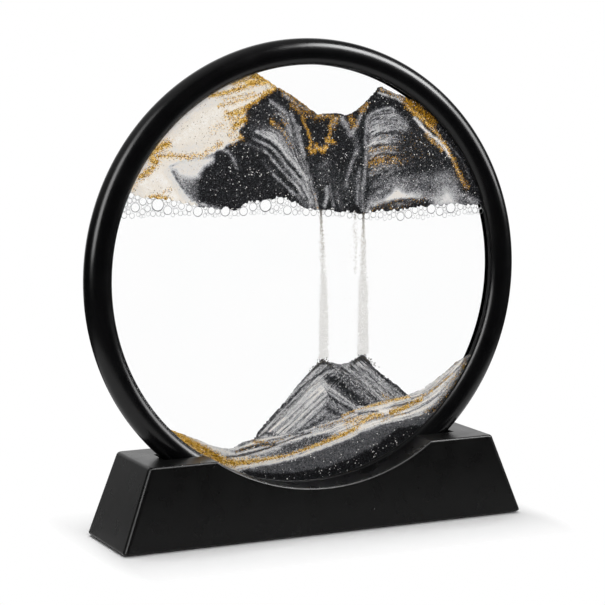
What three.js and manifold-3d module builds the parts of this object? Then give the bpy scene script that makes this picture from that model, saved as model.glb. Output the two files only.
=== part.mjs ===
// Moving sand picture. Two round panes hold coloured sand, liquid and trapped air between them.
// A black ring of round section clips the panes together and stands in the slot of a tapered base.
// Millimetres, +Z up, X along the base, -Y towards the viewer, origin on the table under the ring.
import * as THREE from 'three';
import { mergeVertices } from 'three/addons/utils/BufferGeometryUtils.js';
import Module from 'manifold-3d';

const wasm = await Module();
wasm.setup();

// Ring: two moulded half tubes that meet on the cell's middle plane
const RING_OUTER_RADIUS = 89;
const RING_TUBE_RADIUS = 5.35;
const RING_SEAM_GAP = 0.1;
const TONGUE_WIDTH = 1.2;
const TONGUE_HEIGHT = 1.1;
const TONGUE_CLEARANCE = 0.15;

// Cell: two panes, the seal between them and its filling port
const PANE_THICKNESS = 1.2;
const CELL_GAP = 2.2;
const PANE_BITE = 4;
const SEAL_WIDTH = 3.2;
const PORT_WIDTH = 4;
const SEAT_GAP = 0.1;

// Cell contents, from front to back: sand, a running gap and a layer of liquid
const LIQUID_DEPTH = 0.5;
const RUNNING_GAP = 0.2;
const SAND_GAP = 0.3;
const BUBBLE_PITCH = 4;
const BUBBLE_SAG = 0.8;

// Base moulding
const BASE_LENGTH_BOTTOM = 165.8;
const BASE_LENGTH_TOP = 142.6;
const BASE_DEPTH_BOTTOM = 41;
const BASE_DEPTH_TOP = 36.2;
const BASE_HEIGHT = 31;
const BASE_WALL = 2.4;
const BASE_CORNER_RADIUS = 2;
const BASE_EDGE_RADIUS = 1.2;
const SLOT_CLEARANCE = 0.4;
const CRADLE_GAP = 0.3;
const CHANNEL_LIFT = 1.65;
const SCOOP_MARGIN = 0.7;

// Bottom plate, its screws and the rubber feet
const PLATE_THICKNESS = 3;
const PLATE_CLEARANCE = 0.2;
const FOOT_RADIUS = 4.5;
const FOOT_PROUD = 0.8;
const FOOT_RECESS = 1.2;
const FOOT_TAPER = 0.4;
const FOOT_END_MARGIN = 5;
const FOOT_SIDE_MARGIN = 1.5;
const SCREW_MARGIN = 4;
const SCREW_HEAD_RADIUS = 2.5;
const SCREW_HEAD_HEIGHT = 1.4;
const SCREW_HEAD_INSET = 0.3;
const SCREW_SHANK_RADIUS = 1.2;
const SCREW_LENGTH = 9;
const SCREW_CLEARANCE = 0.2;
const DRIVE_LENGTH = 3;
const DRIVE_WIDTH = 0.7;
const DRIVE_DEPTH = 0.8;
const BOSS_RADIUS = 3.4;

// Fineness of round shapes
const RING_STEPS = 72;
const TUBE_STEPS = 10;
const SMALL_ROUND_STEPS = 20;
const CORNER_STEPS = 4;
const EDGE_STEPS = 3;
const CURVE_STEPS = 4;
const CUT_MARGIN = 2;
const MERGE_TOLERANCE = 1e-4;

// Sizes that follow from the ones above
const tubeCentreRadius = RING_OUTER_RADIUS - RING_TUBE_RADIUS;
const stackHalf = CELL_GAP / 2 + PANE_THICKNESS + SEAT_GAP;
const lipRadius = tubeCentreRadius - Math.sqrt(RING_TUBE_RADIUS ** 2 - stackHalf ** 2);
const paneRadius = lipRadius + PANE_BITE;
const pocketRadius = paneRadius + SEAT_GAP;
const sealInnerRadius = paneRadius - SEAL_WIDTH;
const sandRadius = sealInnerRadius - SEAT_GAP;
const sandDepth = CELL_GAP - LIQUID_DEPTH - RUNNING_GAP - 2 * SEAT_GAP;
const sandFront = SEAT_GAP - CELL_GAP / 2;
const baseBottom = FOOT_PROUD;
const baseTop = baseBottom + BASE_HEIGHT;
const plateTop = baseBottom + PLATE_THICKNESS;
const slotFloor = plateTop + CHANNEL_LIFT + BASE_WALL;
const slotRadius = RING_OUTER_RADIUS + CRADLE_GAP;
const slotHalfWidth = RING_TUBE_RADIUS + SLOT_CLEARANCE;
const scoopRadius = RING_OUTER_RADIUS - 2 * RING_TUBE_RADIUS + SCOOP_MARGIN;
const ringCentre = slotFloor + slotRadius;

// Finishes
const basePlastic = new THREE.MeshStandardMaterial({ color: 0x1a1a1c, roughness: 0.5, metalness: 0 });
const platePlastic = new THREE.MeshStandardMaterial({ color: 0x202022, roughness: 0.7, metalness: 0 });
const ringPlastic = new THREE.MeshStandardMaterial({ color: 0x0b0b0d, roughness: 0.28, metalness: 0 });
const footRubber = new THREE.MeshStandardMaterial({ color: 0x2a2a2b, roughness: 0.9, metalness: 0 });
const sealRubber = new THREE.MeshStandardMaterial({ color: 0x101011, roughness: 0.8, metalness: 0 });
const screwSteel = new THREE.MeshStandardMaterial({ color: 0x8a8c90, roughness: 0.35, metalness: 1 });
const blackSand = new THREE.MeshStandardMaterial({ color: 0x2b2c30, roughness: 0.8, metalness: 0.1 });
const greySand = new THREE.MeshStandardMaterial({ color: 0x6d6e72, roughness: 0.9, metalness: 0 });
const creamSand = new THREE.MeshStandardMaterial({ color: 0xe6dccf, roughness: 0.9, metalness: 0 });
const goldSand = new THREE.MeshStandardMaterial({ color: 0xc99a45, roughness: 0.7, metalness: 0.3 });
const clearGlass = new THREE.MeshStandardMaterial({
  color: 0xf2f7f8, roughness: 0.03, metalness: 0, transparent: true, opacity: 0.12,
});
const clearLiquid = new THREE.MeshStandardMaterial({
  color: 0xf6fafc, roughness: 0.05, metalness: 0, transparent: true, opacity: 0.08,
});
const bubbleFilm = new THREE.MeshStandardMaterial({
  color: 0xffffff, roughness: 0.1, metalness: 0, transparent: true, opacity: 0.6,
});

// Joining and cutting
function toSolid(geometry) {
  const bare = geometry.clone();
  bare.deleteAttribute('normal');
  bare.deleteAttribute('uv');
  const merged = mergeVertices(bare, MERGE_TOLERANCE);
  const vertProperties = new Float32Array(merged.getAttribute('position').array);
  const triVerts = new Uint32Array(merged.getIndex().array);
  return new wasm.Manifold(new wasm.Mesh({ numProp: 3, vertProperties, triVerts }));
}

function toGeometry(solid) {
  const mesh = solid.getMesh();
  const geometry = new THREE.BufferGeometry();
  geometry.setAttribute('position', new THREE.BufferAttribute(mesh.vertProperties, 3));
  geometry.setIndex(new THREE.BufferAttribute(mesh.triVerts, 1));
  geometry.computeVertexNormals();
  return geometry;
}

function piece(name, geometry, material, parent) {
  const mesh = new THREE.Mesh(geometry, material);
  mesh.name = name;
  parent.add(mesh);
  return mesh;
}

// A disc that faces the viewer, and an upright cylinder between two heights
function disc(radius, depth) {
  return new THREE.CylinderGeometry(radius, radius, depth, RING_STEPS);
}

function upright(bottomRadius, topRadius, low, high, x, y) {
  const geometry = new THREE.CylinderGeometry(topRadius, bottomRadius, high - low, SMALL_ROUND_STEPS);
  geometry.rotateX(Math.PI / 2);
  geometry.translate(x, y, (low + high) / 2);
  return geometry;
}

// Base: a hollow tapered block whose outline shrinks evenly from the table to its top
function halfLengthAt(z) {
  return (BASE_LENGTH_BOTTOM + (BASE_LENGTH_TOP - BASE_LENGTH_BOTTOM) * (z - baseBottom) / BASE_HEIGHT) / 2;
}

function halfDepthAt(z) {
  return (BASE_DEPTH_BOTTOM + (BASE_DEPTH_TOP - BASE_DEPTH_BOTTOM) * (z - baseBottom) / BASE_HEIGHT) / 2;
}

function roundedOutline(z, inset) {
  const centreX = halfLengthAt(z) - inset - BASE_CORNER_RADIUS;
  const centreY = halfDepthAt(z) - inset - BASE_CORNER_RADIUS;
  const signs = [[1, 1], [-1, 1], [-1, -1], [1, -1]];
  const points = [];
  signs.forEach(([sideX, sideY], corner) => {
    for (let step = 0; step <= CORNER_STEPS; step += 1) {
      const angle = (corner + step / CORNER_STEPS) * Math.PI / 2;
      const x = sideX * centreX + BASE_CORNER_RADIUS * Math.cos(angle);
      const y = sideY * centreY + BASE_CORNER_RADIUS * Math.sin(angle);
      points.push([x, y, z]);
    }
  });
  return points;
}

function loft(outlines) {
  const count = outlines[0].length;
  const last = (outlines.length - 1) * count;
  const faces = [];
  for (let start = 0; start < last; start += count) {
    for (let i = 0; i < count; i += 1) {
      const here = start + i;
      const next = start + (i + 1) % count;
      faces.push(here, next, next + count, here, next + count, here + count);
    }
  }
  for (let i = 1; i + 1 < count; i += 1) {
    faces.push(0, i + 1, i, last, last + i, last + i + 1);
  }
  const geometry = new THREE.BufferGeometry();
  geometry.setAttribute('position', new THREE.Float32BufferAttribute(outlines.flat(2), 3));
  geometry.setIndex(faces);
  geometry.computeVertexNormals();
  return geometry;
}

function taperedBlock(low, high, inset, edgeRadius) {
  const outlines = [roundedOutline(low, inset)];
  for (let step = 0; step <= EDGE_STEPS; step += 1) {
    const angle = step / EDGE_STEPS * Math.PI / 2;
    const z = high - edgeRadius * (1 - Math.sin(angle));
    outlines.push(roundedOutline(z, inset + edgeRadius * (1 - Math.cos(angle))));
  }
  return loft(outlines);
}

const plateHalfLength = halfLengthAt(plateTop) - BASE_WALL - PLATE_CLEARANCE;
const plateHalfDepth = halfDepthAt(plateTop) - BASE_WALL - PLATE_CLEARANCE;
const footX = plateHalfLength - FOOT_END_MARGIN - FOOT_RADIUS;
const footY = plateHalfDepth - FOOT_SIDE_MARGIN - FOOT_RADIUS;
const screwX = footX - FOOT_RADIUS - SCREW_MARGIN - SCREW_HEAD_RADIUS;
const screwY = (slotHalfWidth + halfDepthAt(plateTop)) / 2;
const headBottom = baseBottom + SCREW_HEAD_INSET;
const headTop = headBottom + SCREW_HEAD_HEIGHT;
const screwTip = headTop + SCREW_LENGTH;
const corners = [['front_left', -1, -1], ['front_right', 1, -1], ['rear_left', -1, 1], ['rear_right', 1, 1]];

function atRing(geometry) {
  return toSolid(geometry.translate(0, 0, ringCentre));
}

function baseShell() {
  const throughDepth = BASE_DEPTH_BOTTOM + 2 * CUT_MARGIN;
  const channel = disc(slotRadius + BASE_WALL, 2 * (slotHalfWidth + BASE_WALL));
  let hollow = toSolid(taperedBlock(baseBottom - CUT_MARGIN, baseTop - BASE_WALL, BASE_WALL, BASE_EDGE_RADIUS));
  hollow = hollow.subtract(atRing(channel));
  hollow = hollow.subtract(atRing(disc(scoopRadius + BASE_WALL, throughDepth)));
  for (const [, sideX, sideY] of corners) {
    const x = sideX * screwX;
    const y = sideY * screwY;
    hollow = hollow.subtract(toSolid(upright(BOSS_RADIUS, BOSS_RADIUS, plateTop + SEAT_GAP, baseTop, x, y)));
  }
  let shell = toSolid(taperedBlock(baseBottom, baseTop, 0, BASE_EDGE_RADIUS)).subtract(hollow);
  shell = shell.subtract(atRing(disc(slotRadius, 2 * slotHalfWidth)));
  shell = shell.subtract(atRing(disc(scoopRadius, throughDepth)));
  for (const [, sideX, sideY] of corners) {
    const bore = SCREW_SHANK_RADIUS + SCREW_CLEARANCE;
    const top = screwTip + SCREW_CLEARANCE;
    shell = shell.subtract(toSolid(upright(bore, bore, plateTop, top, sideX * screwX, sideY * screwY)));
  }
  return toGeometry(shell);
}

function basePlate() {
  let plate = toSolid(taperedBlock(baseBottom, plateTop, BASE_WALL + PLATE_CLEARANCE, 0));
  for (const [, sideX, sideY] of corners) {
    const below = baseBottom - CUT_MARGIN;
    const bore = SCREW_SHANK_RADIUS + SCREW_CLEARANCE;
    const sink = SCREW_HEAD_RADIUS + SCREW_CLEARANCE;
    const pocket = FOOT_RADIUS + SEAT_GAP;
    const x = sideX * screwX;
    const y = sideY * screwY;
    plate = plate.subtract(toSolid(upright(bore, bore, below, plateTop + CUT_MARGIN, x, y)));
    plate = plate.subtract(toSolid(upright(sink, sink, below, headTop + SEAT_GAP, x, y)));
    plate = plate.subtract(toSolid(
      upright(pocket, pocket, below, baseBottom + FOOT_RECESS, sideX * footX, sideY * footY),
    ));
  }
  return toGeometry(plate);
}

function screw(x, y) {
  const head = upright(SCREW_HEAD_RADIUS, SCREW_HEAD_RADIUS, headBottom, headTop, x, y);
  const shank = upright(SCREW_SHANK_RADIUS, SCREW_SHANK_RADIUS, (headBottom + headTop) / 2, screwTip, x, y);
  const slot = new THREE.BoxGeometry(DRIVE_LENGTH, DRIVE_WIDTH, 2 * DRIVE_DEPTH).translate(x, y, headBottom);
  const cross = new THREE.BoxGeometry(DRIVE_WIDTH, DRIVE_LENGTH, 2 * DRIVE_DEPTH).translate(x, y, headBottom);
  return toGeometry(toSolid(head).add(toSolid(shank)).subtract(toSolid(slot)).subtract(toSolid(cross)));
}

function foot(x, y) {
  return upright(FOOT_RADIUS - FOOT_TAPER, FOOT_RADIUS, 0, baseBottom + FOOT_RECESS - SEAT_GAP, x, y);
}

// Ring halves: profiles of radius and depth, turned about the line that looks into the picture
function ringHalf(side, seamPoints) {
  const seam = RING_SEAM_GAP / 2;
  const start = Math.asin(seam / RING_TUBE_RADIUS);
  const end = Math.PI - Math.asin(stackHalf / RING_TUBE_RADIUS);
  const profile = [];
  for (let step = 0; step <= TUBE_STEPS; step += 1) {
    const angle = start + (end - start) * step / TUBE_STEPS;
    const radius = tubeCentreRadius + RING_TUBE_RADIUS * Math.cos(angle);
    profile.push(new THREE.Vector2(radius, side * RING_TUBE_RADIUS * Math.sin(angle)));
  }
  profile.push(new THREE.Vector2(pocketRadius, side * stackHalf));
  profile.push(new THREE.Vector2(pocketRadius, side * seam));
  profile.push(...seamPoints);
  profile.push(profile[0].clone());
  if (side < 0) profile.reverse();
  return new THREE.LatheGeometry(profile, RING_STEPS);
}

function rectangleNotch(centre, halfWidth, mouth, bottom) {
  return [
    new THREE.Vector2(centre - halfWidth, mouth),
    new THREE.Vector2(centre - halfWidth, bottom),
    new THREE.Vector2(centre + halfWidth, bottom),
    new THREE.Vector2(centre + halfWidth, mouth),
  ];
}

const tongueRadius = (pocketRadius + RING_OUTER_RADIUS) / 2;
const seamHalf = RING_SEAM_GAP / 2;
const grooveHalf = TONGUE_WIDTH / 2 + TONGUE_CLEARANCE;
const grooveBottom = -seamHalf - TONGUE_HEIGHT - TONGUE_CLEARANCE;
const groove = rectangleNotch(tongueRadius, grooveHalf, -seamHalf, grooveBottom);
const tongue = rectangleNotch(tongueRadius, TONGUE_WIDTH / 2, seamHalf, -seamHalf - TONGUE_HEIGHT);

// Cell: panes, seal with its filling port, and the plug that closes the port at the top
function pane(side) {
  return disc(paneRadius, PANE_THICKNESS).translate(0, side * (CELL_GAP + PANE_THICKNESS) / 2, 0);
}

function portBlock(width, depth, low, high) {
  return new THREE.BoxGeometry(width, depth, high - low).translate(0, 0, (low + high) / 2);
}

function seal() {
  const half = CELL_GAP / 2 - SEAT_GAP;
  const profile = [
    new THREE.Vector2(sealInnerRadius, -half),
    new THREE.Vector2(paneRadius, -half),
    new THREE.Vector2(paneRadius, half),
    new THREE.Vector2(sealInnerRadius, half),
    new THREE.Vector2(sealInnerRadius, -half),
  ];
  const port = portBlock(PORT_WIDTH, CELL_GAP, sealInnerRadius - CUT_MARGIN, paneRadius + CUT_MARGIN);
  return toGeometry(toSolid(new THREE.LatheGeometry(profile, RING_STEPS)).subtract(toSolid(port)));
}

function plug() {
  const edge = Math.sqrt(paneRadius ** 2 - (PORT_WIDTH / 2) ** 2);
  return portBlock(PORT_WIDTH - 2 * SEAT_GAP, CELL_GAP - 2 * SEAT_GAP, sealInnerRadius, edge - SEAT_GAP);
}

function liquid() {
  const centre = CELL_GAP / 2 - SEAT_GAP - LIQUID_DEPTH / 2;
  return disc(sandRadius, LIQUID_DEPTH).translate(0, centre, 0);
}

// Sand outlines are drawn from the cell's centre, in hundredths of the sand's radius.
// The first and last point of an outline that meets the wall are pushed out to it.
const HUNDREDTH = sandRadius / 100;

function drawn(points) {
  return points.map(([x, z]) => new THREE.Vector2(x * HUNDREDTH, z * HUNDREDTH));
}

function shifted(points, x, z) {
  return points.map((point) => point.clone().add(new THREE.Vector2(x, z)));
}

function toWall(point) {
  return point.clone().setLength(sandRadius);
}

function heightAt(points, x) {
  const next = points.findIndex((point) => point.x >= x);
  const index = Math.max(next < 0 ? points.length - 1 : next, 1);
  const [a, b] = [points[index - 1], points[index]];
  return a.y + (b.y - a.y) * (x - a.x) / (b.x - a.x);
}

function slab(shape, front, depth) {
  const geometry = new THREE.ExtrudeGeometry(shape, { depth, bevelEnabled: false, curveSegments: CURVE_STEPS });
  geometry.rotateX(Math.PI / 2);
  geometry.translate(0, front + depth, 0);
  return geometry;
}

// A body of sand that lies against the wall between the ends of its free outline
function againstWall(points) {
  const first = toWall(points[0]);
  const last = toWall(points[points.length - 1]);
  const shape = new THREE.Shape([first, ...points.slice(1, -1), last]);
  const turn = last.angleTo(first) * Math.sign(last.cross(first));
  shape.absarc(0, 0, sandRadius, last.angle(), last.angle() + turn, turn < 0);
  return slab(shape, sandFront, sandDepth);
}

// Upper sand: a cream body on the left and a dark body in the middle and right, both held up by air
const upperCrest = drawn([
  [-26, 96], [-14.5, 89], [-6.5, 84.5], [0, 80], [4, 77], [6.5, 75.5], [14, 76], [17.5, 76],
  [21.5, 74.5], [24.5, 75.5], [27.5, 77], [31.5, 80], [36.5, 84.5], [39.5, 88], [45, 85.5], [60, 80],
]);
const upperFloor = drawn([
  [-90, 42.5], [-83, 40], [-75.5, 39.5], [-65.5, 37.5], [-55.5, 35], [-46.5, 33.5], [-36.5, 32],
  [-30, 35.5], [-21.5, 36], [-12.5, 37.5], [-6.5, 34.5], [0, 31.5], [6.5, 30.5], [12.5, 29.5],
  [22.5, 28.5], [28.5, 27.5], [32.5, 28], [41.5, 28.5], [50.5, 28], [58, 29.5], [78, 29.5], [96, 29],
]);
const creamEdge = drawn([
  [-14.5, 89], [-20, 85.5], [-30, 79.5], [-33.5, 71], [-34.5, 66], [-41.5, 61.5], [-50.5, 57.5],
  [-61.5, 56], [-69.5, 54], [-66, 47.5], [-60.5, 40.5], [-55.5, 35],
]);
const creamFloor = upperFloor.filter((point) => point.x < creamEdge[creamEdge.length - 1].x);
const darkFloor = upperFloor.slice(creamFloor.length + 1);
const creamBody = [upperCrest[0], ...creamEdge, ...creamFloor.slice().reverse()];
const darkEdge = shifted(creamEdge, SAND_GAP, -SAND_GAP / 2);
const darkBody = [...upperCrest.slice(2).reverse(), ...darkEdge, ...darkFloor];

// Bubble raft: trapped air under the upper sand, with one sagging arc for each bubble of its lower edge
const raftFloor = drawn([
  [-95.5, 31], [-75.5, 31], [-56.5, 30.5], [-37.5, 29], [-25, 30], [-12.5, 29], [0, 28], [12.5, 27],
  [22.5, 26], [28.5, 25], [32.5, 24.5], [53, 24], [78, 24], [97, 24.5],
]);

function bubbleRaft() {
  const roof = shifted(upperFloor, 0, -SAND_GAP);
  const [left, right] = [toWall(raftFloor[0]), toWall(raftFloor[raftFloor.length - 1])];
  const shape = new THREE.Shape([left, toWall(roof[0]), ...roof.slice(1, -1), toWall(roof[roof.length - 1]), right]);
  const count = Math.round((right.x - left.x) / BUBBLE_PITCH);
  for (let bubble = count - 1; bubble >= 0; bubble -= 1) {
    const x = left.x + (right.x - left.x) * bubble / count;
    const middle = x + (right.x - left.x) / count / 2;
    const z = bubble === 0 ? left.y : heightAt(raftFloor, x);
    shape.quadraticCurveTo(middle, heightAt(raftFloor, middle) - BUBBLE_SAG, x, z);
  }
  return slab(shape, sandFront, sandDepth);
}

// Falling streams: thin tapering curtains, given as points down the middle with their widths
function stream(points) {
  const start = points[0][0] * HUNDREDTH;
  const top = heightAt(raftFloor, start) - BUBBLE_SAG - SAND_GAP;
  const rows = points.map(([x, z, width], row) => ({
    x: x * HUNDREDTH,
    z: row === 0 ? top : z * HUNDREDTH,
    half: width * HUNDREDTH / 2,
  }));
  const left = rows.map(({ x, z, half }) => new THREE.Vector2(x - half, z));
  const right = rows.map(({ x, z, half }) => new THREE.Vector2(x + half, z)).reverse();
  return slab(new THREE.Shape([...left, ...right]), sandFront, sandDepth);
}

const leftStream = [[7, 25, 1], [7.5, 17, 1], [8, 6, 1.5], [8.5, -5.5, 3], [8.5, -20.5, 4.5], [8.5, -41.5, 5]];
const middleStream = [[25, 23, 1], [25.5, 14.5, 1], [25.5, -1.5, 1]];
const rightStream = [[29.5, 22, 1], [29.5, 13.5, 1], [29.5, 2, 2.5], [29.5, -8, 4.5], [29.5, -41, 6]];

// Lower sand: a bank that lies on the wall, dark below and pale above, with three peaks on its crest
const bankCrest = drawn([
  [-71.5, -68.5], [-60.5, -74], [-50.5, -79], [-44, -81], [-39, -81.5], [-34, -79], [-27.5, -78],
  [-12.5, -77], [0, -75.5], [12.5, -71.5], [22.5, -68.5], [30, -67], [37.5, -65.5], [46.5, -64.5],
  [54, -63.5], [63, -61], [69, -57.5], [75.5, -53.5], [81.5, -49], [88, -45],
]);
const darkLayerTop = drawn([
  [-37, -92], [-25, -90], [-12.5, -88.5], [0, -86], [12.5, -83.5], [25, -80], [37.5, -77],
  [50.5, -75.5], [60.5, -74], [68, -72.5],
]);
const leftPeak = drawn([
  [-24.5, -73.5], [-17.5, -67], [-12.5, -62.5], [-8, -57.5], [-4, -53], [1.5, -48], [5.5, -44.5],
  [9.5, -43], [12.5, -44], [17.5, -45.5],
]);
const rightPeak = drawn([
  [17.5, -45.5], [22, -45], [25, -43.5], [28.5, -42], [31.5, -43.5], [36.5, -49], [41.5, -53],
  [48, -58], [52, -61.5],
]);
const frontPeak = drawn([
  [-20, -74], [-10, -65], [-4, -60], [2.5, -54.5], [6.5, -52.5], [9, -53], [12.5, -56], [20, -62], [25, -66],
]);
const peakRoot = bankCrest.slice(6, 15);
const frontRoot = bankCrest.slice(6, 12);
const splitAt = bankCrest[11].x;

function paleLayer() {
  const first = toWall(bankCrest[0]);
  const last = toWall(bankCrest[bankCrest.length - 1]);
  const under = shifted(darkLayerTop, 0, SAND_GAP);
  const [low, high] = [toWall(under[0]), toWall(under[under.length - 1])];
  const shape = new THREE.Shape([first, ...bankCrest.slice(1, -1), last]);
  shape.absarc(0, 0, sandRadius, last.angle(), high.angle(), true);
  under.slice(1, -1).reverse().forEach((point) => shape.lineTo(point.x, point.y));
  shape.lineTo(low.x, low.y);
  shape.absarc(0, 0, sandRadius, low.angle(), first.angle(), true);
  return slab(shape, sandFront, sandDepth);
}

function peak(crest, root, front, depth) {
  return slab(new THREE.Shape([...shifted(root, 0, SAND_GAP), ...crest.slice().reverse()]), front, depth);
}

const peakDepth = (sandDepth - SEAT_GAP) / 2;
const rearFront = sandFront + peakDepth + SEAT_GAP;
const leftRoot = peakRoot.filter((point) => point.x <= splitAt);
const rightRoot = shifted(peakRoot.filter((point) => point.x >= splitAt), SAND_GAP, 0);

// Assembly: the base stands on the table and the ring stands in its slot
const sandPicture = new THREE.Group();
const base = new THREE.Group();
const ring = new THREE.Group();
ring.position.z = ringCentre;
sandPicture.add(base, ring);

piece('base_shell', baseShell(), basePlastic, base);
piece('base_plate', basePlate(), platePlastic, base);
for (const [name, sideX, sideY] of corners) {
  piece(`base_screw_${name}`, screw(sideX * screwX, sideY * screwY), screwSteel, base);
  piece(`foot_${name}`, foot(sideX * footX, sideY * footY), footRubber, base);
}

piece('rim_front', ringHalf(-1, groove), ringPlastic, ring);
piece('rim_rear', ringHalf(1, tongue), ringPlastic, ring);
piece('front_glass', pane(-1), clearGlass, ring);
piece('rear_glass', pane(1), clearGlass, ring);
piece('cell_seal', seal(), sealRubber, ring);
piece('fill_plug', plug(), sealRubber, ring);
piece('liquid', liquid(), clearLiquid, ring);
piece('upper_sand_cream', againstWall(creamBody), creamSand, ring);
piece('upper_sand_dark', againstWall(darkBody), blackSand, ring);
piece('bubble_raft', bubbleRaft(), bubbleFilm, ring);
piece('sand_stream_left', stream(leftStream), greySand, ring);
piece('sand_stream_middle', stream(middleStream), greySand, ring);
piece('sand_stream_right', stream(rightStream), greySand, ring);
piece('sand_peak_left', peak(leftPeak, leftRoot, rearFront, peakDepth), greySand, ring);
piece('sand_peak_right', peak(shifted(rightPeak, SAND_GAP, 0), rightRoot, rearFront, peakDepth), greySand, ring);
piece('sand_peak_front', peak(frontPeak, frontRoot, sandFront, peakDepth), greySand, ring);
piece('bank_sand_pale', paleLayer(), goldSand, ring);
piece('bank_sand_dark', againstWall(darkLayerTop), blackSand, ring);

export default sandPicture;
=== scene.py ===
# Moving sand picture: a round cell of sand, liquid and air in a black ring that stands in a tapered base.
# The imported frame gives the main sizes, and lengths are metres in that frame. Names that end in _MM
# and the drawings of the sand hold millimetres, measured up from the base's lower edge.
import math
import bmesh
import bpy
import numpy as np
from mathutils import Matrix, Vector
from mathutils.bvhtree import BVHTree
from mathutils.kdtree import KDTree


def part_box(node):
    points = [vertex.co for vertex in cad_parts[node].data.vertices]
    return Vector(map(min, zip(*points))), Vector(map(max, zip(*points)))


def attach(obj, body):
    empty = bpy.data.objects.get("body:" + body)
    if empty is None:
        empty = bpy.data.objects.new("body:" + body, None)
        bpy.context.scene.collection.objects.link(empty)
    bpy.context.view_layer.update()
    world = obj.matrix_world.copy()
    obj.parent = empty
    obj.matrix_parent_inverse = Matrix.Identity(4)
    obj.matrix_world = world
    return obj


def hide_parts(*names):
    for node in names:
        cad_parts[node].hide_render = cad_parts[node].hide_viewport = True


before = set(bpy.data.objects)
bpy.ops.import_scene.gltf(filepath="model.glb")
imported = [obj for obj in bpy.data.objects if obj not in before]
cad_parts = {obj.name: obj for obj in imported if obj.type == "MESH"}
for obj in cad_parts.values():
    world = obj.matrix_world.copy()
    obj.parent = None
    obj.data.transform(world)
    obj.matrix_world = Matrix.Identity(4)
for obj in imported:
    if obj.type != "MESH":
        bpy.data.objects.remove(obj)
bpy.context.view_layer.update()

# Base shell: one injection moulding in satin black plastic, a block that tapers towards its top.
# A narrow round slot takes the ring, and a wider scoop is cut away in front and behind it.
MM = 0.001
shell_low, shell_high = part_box("base_shell")
plate_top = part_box("base_plate")[1].z
rim_low, rim_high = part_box("rim_front")
ring_height = (rim_low.z + rim_high.z) / 2
ring_radius = (rim_high.x - rim_low.x) / 2
tube_radius = -rim_low.y
SHELL_TOP_LENGTH = 142.6 * MM
SHELL_TOP_DEPTH = 36.2 * MM
SHELL_CORNER = 2.0 * MM
SHELL_WALL = 2.4 * MM
EDGE_ROUND = 1.0 * MM
EDGE_STEPS = 5
SHARP_DEGREES = 35
SLOT_SIDE_GAP = 0.4 * MM
SLOT_ROUND_GAP = 0.3 * MM
SCOOP_MARGIN = 0.7 * MM
SCOOP_CUT_DEPTH = shell_high.y * 1.2
GLOSS_CLOUD_SIZE = 9 * MM


def shell_half_size(z):
    """Half length and half depth of the tapering block at a height."""
    rise = (z - shell_low.z) / (shell_high.z - shell_low.z)
    half_length = shell_high.x + (SHELL_TOP_LENGTH / 2 - shell_high.x) * rise
    half_depth = shell_high.y + (SHELL_TOP_DEPTH / 2 - shell_high.y) * rise
    return half_length, half_depth


def shell_outline(z, inset, steps=10):
    """The block's outline at a height, with rounded corners."""
    half_length, half_depth = shell_half_size(z)
    points = []
    for corner, (side_x, side_y) in enumerate([(1, 1), (-1, 1), (-1, -1), (1, -1)]):
        for step in range(steps + 1):
            angle = (corner + step / steps) * math.pi / 2
            x = side_x * (half_length - inset - SHELL_CORNER) + SHELL_CORNER * math.cos(angle)
            y = side_y * (half_depth - inset - SHELL_CORNER) + SHELL_CORNER * math.sin(angle)
            points.append((x, y, z))
    return points


def new_piece(name, points, faces):
    mesh = bpy.data.meshes.new(name)
    mesh.from_pydata(points, [], faces)
    piece = bpy.data.objects.new(name, mesh)
    bpy.context.scene.collection.objects.link(piece)
    return piece


def lofted(name, outlines):
    """A closed solid through outlines that have the same number of points."""
    count = len(outlines[0])
    faces = []
    for ring in range(len(outlines) - 1):
        for i in range(count):
            here = ring * count + i
            there = ring * count + (i + 1) % count
            faces.append((here, there, there + count, here + count))
    last = (len(outlines) - 1) * count
    faces.append(tuple(reversed(range(count))))
    faces.append(tuple(range(last, last + count)))
    points = [point for outline in outlines for point in outline]
    return new_piece(name, points, faces)


def tapered_block(name, low, high, inset):
    return lofted(name, [shell_outline(low, inset), shell_outline(high, inset)])


def ring_disc(name, radius, half_depth, steps=256):
    """A disc about the ring's middle, to cut with."""
    turns = [2 * math.pi * step / steps for step in range(steps)]
    outlines = []
    for y in (half_depth, -half_depth):
        outlines.append([
            (radius * math.cos(turn), y, ring_height + radius * math.sin(turn)) for turn in turns])
    return lofted(name, outlines)


def settle(piece):
    """Turns the piece's live modifiers into its plain mesh."""
    evaluated = piece.evaluated_get(bpy.context.evaluated_depsgraph_get())
    mesh = bpy.data.meshes.new_from_object(evaluated)
    piece.modifiers.clear()
    piece.data = mesh
    mesh.name = piece.name
    return piece


def smooth(piece, sharp_angle):
    piece.data.polygons.foreach_set("use_smooth", [True] * len(piece.data.polygons))
    piece.data.set_sharp_from_angle(angle=math.radians(sharp_angle))


def cut_away(piece, cutters):
    for cutter in cutters:
        modifier = piece.modifiers.new("cut", "BOOLEAN")
        modifier.operation = "DIFFERENCE"
        modifier.solver = "EXACT"
        modifier.object = cutter
    settle(piece)
    for cutter in cutters:
        bpy.data.objects.remove(cutter)


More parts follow.
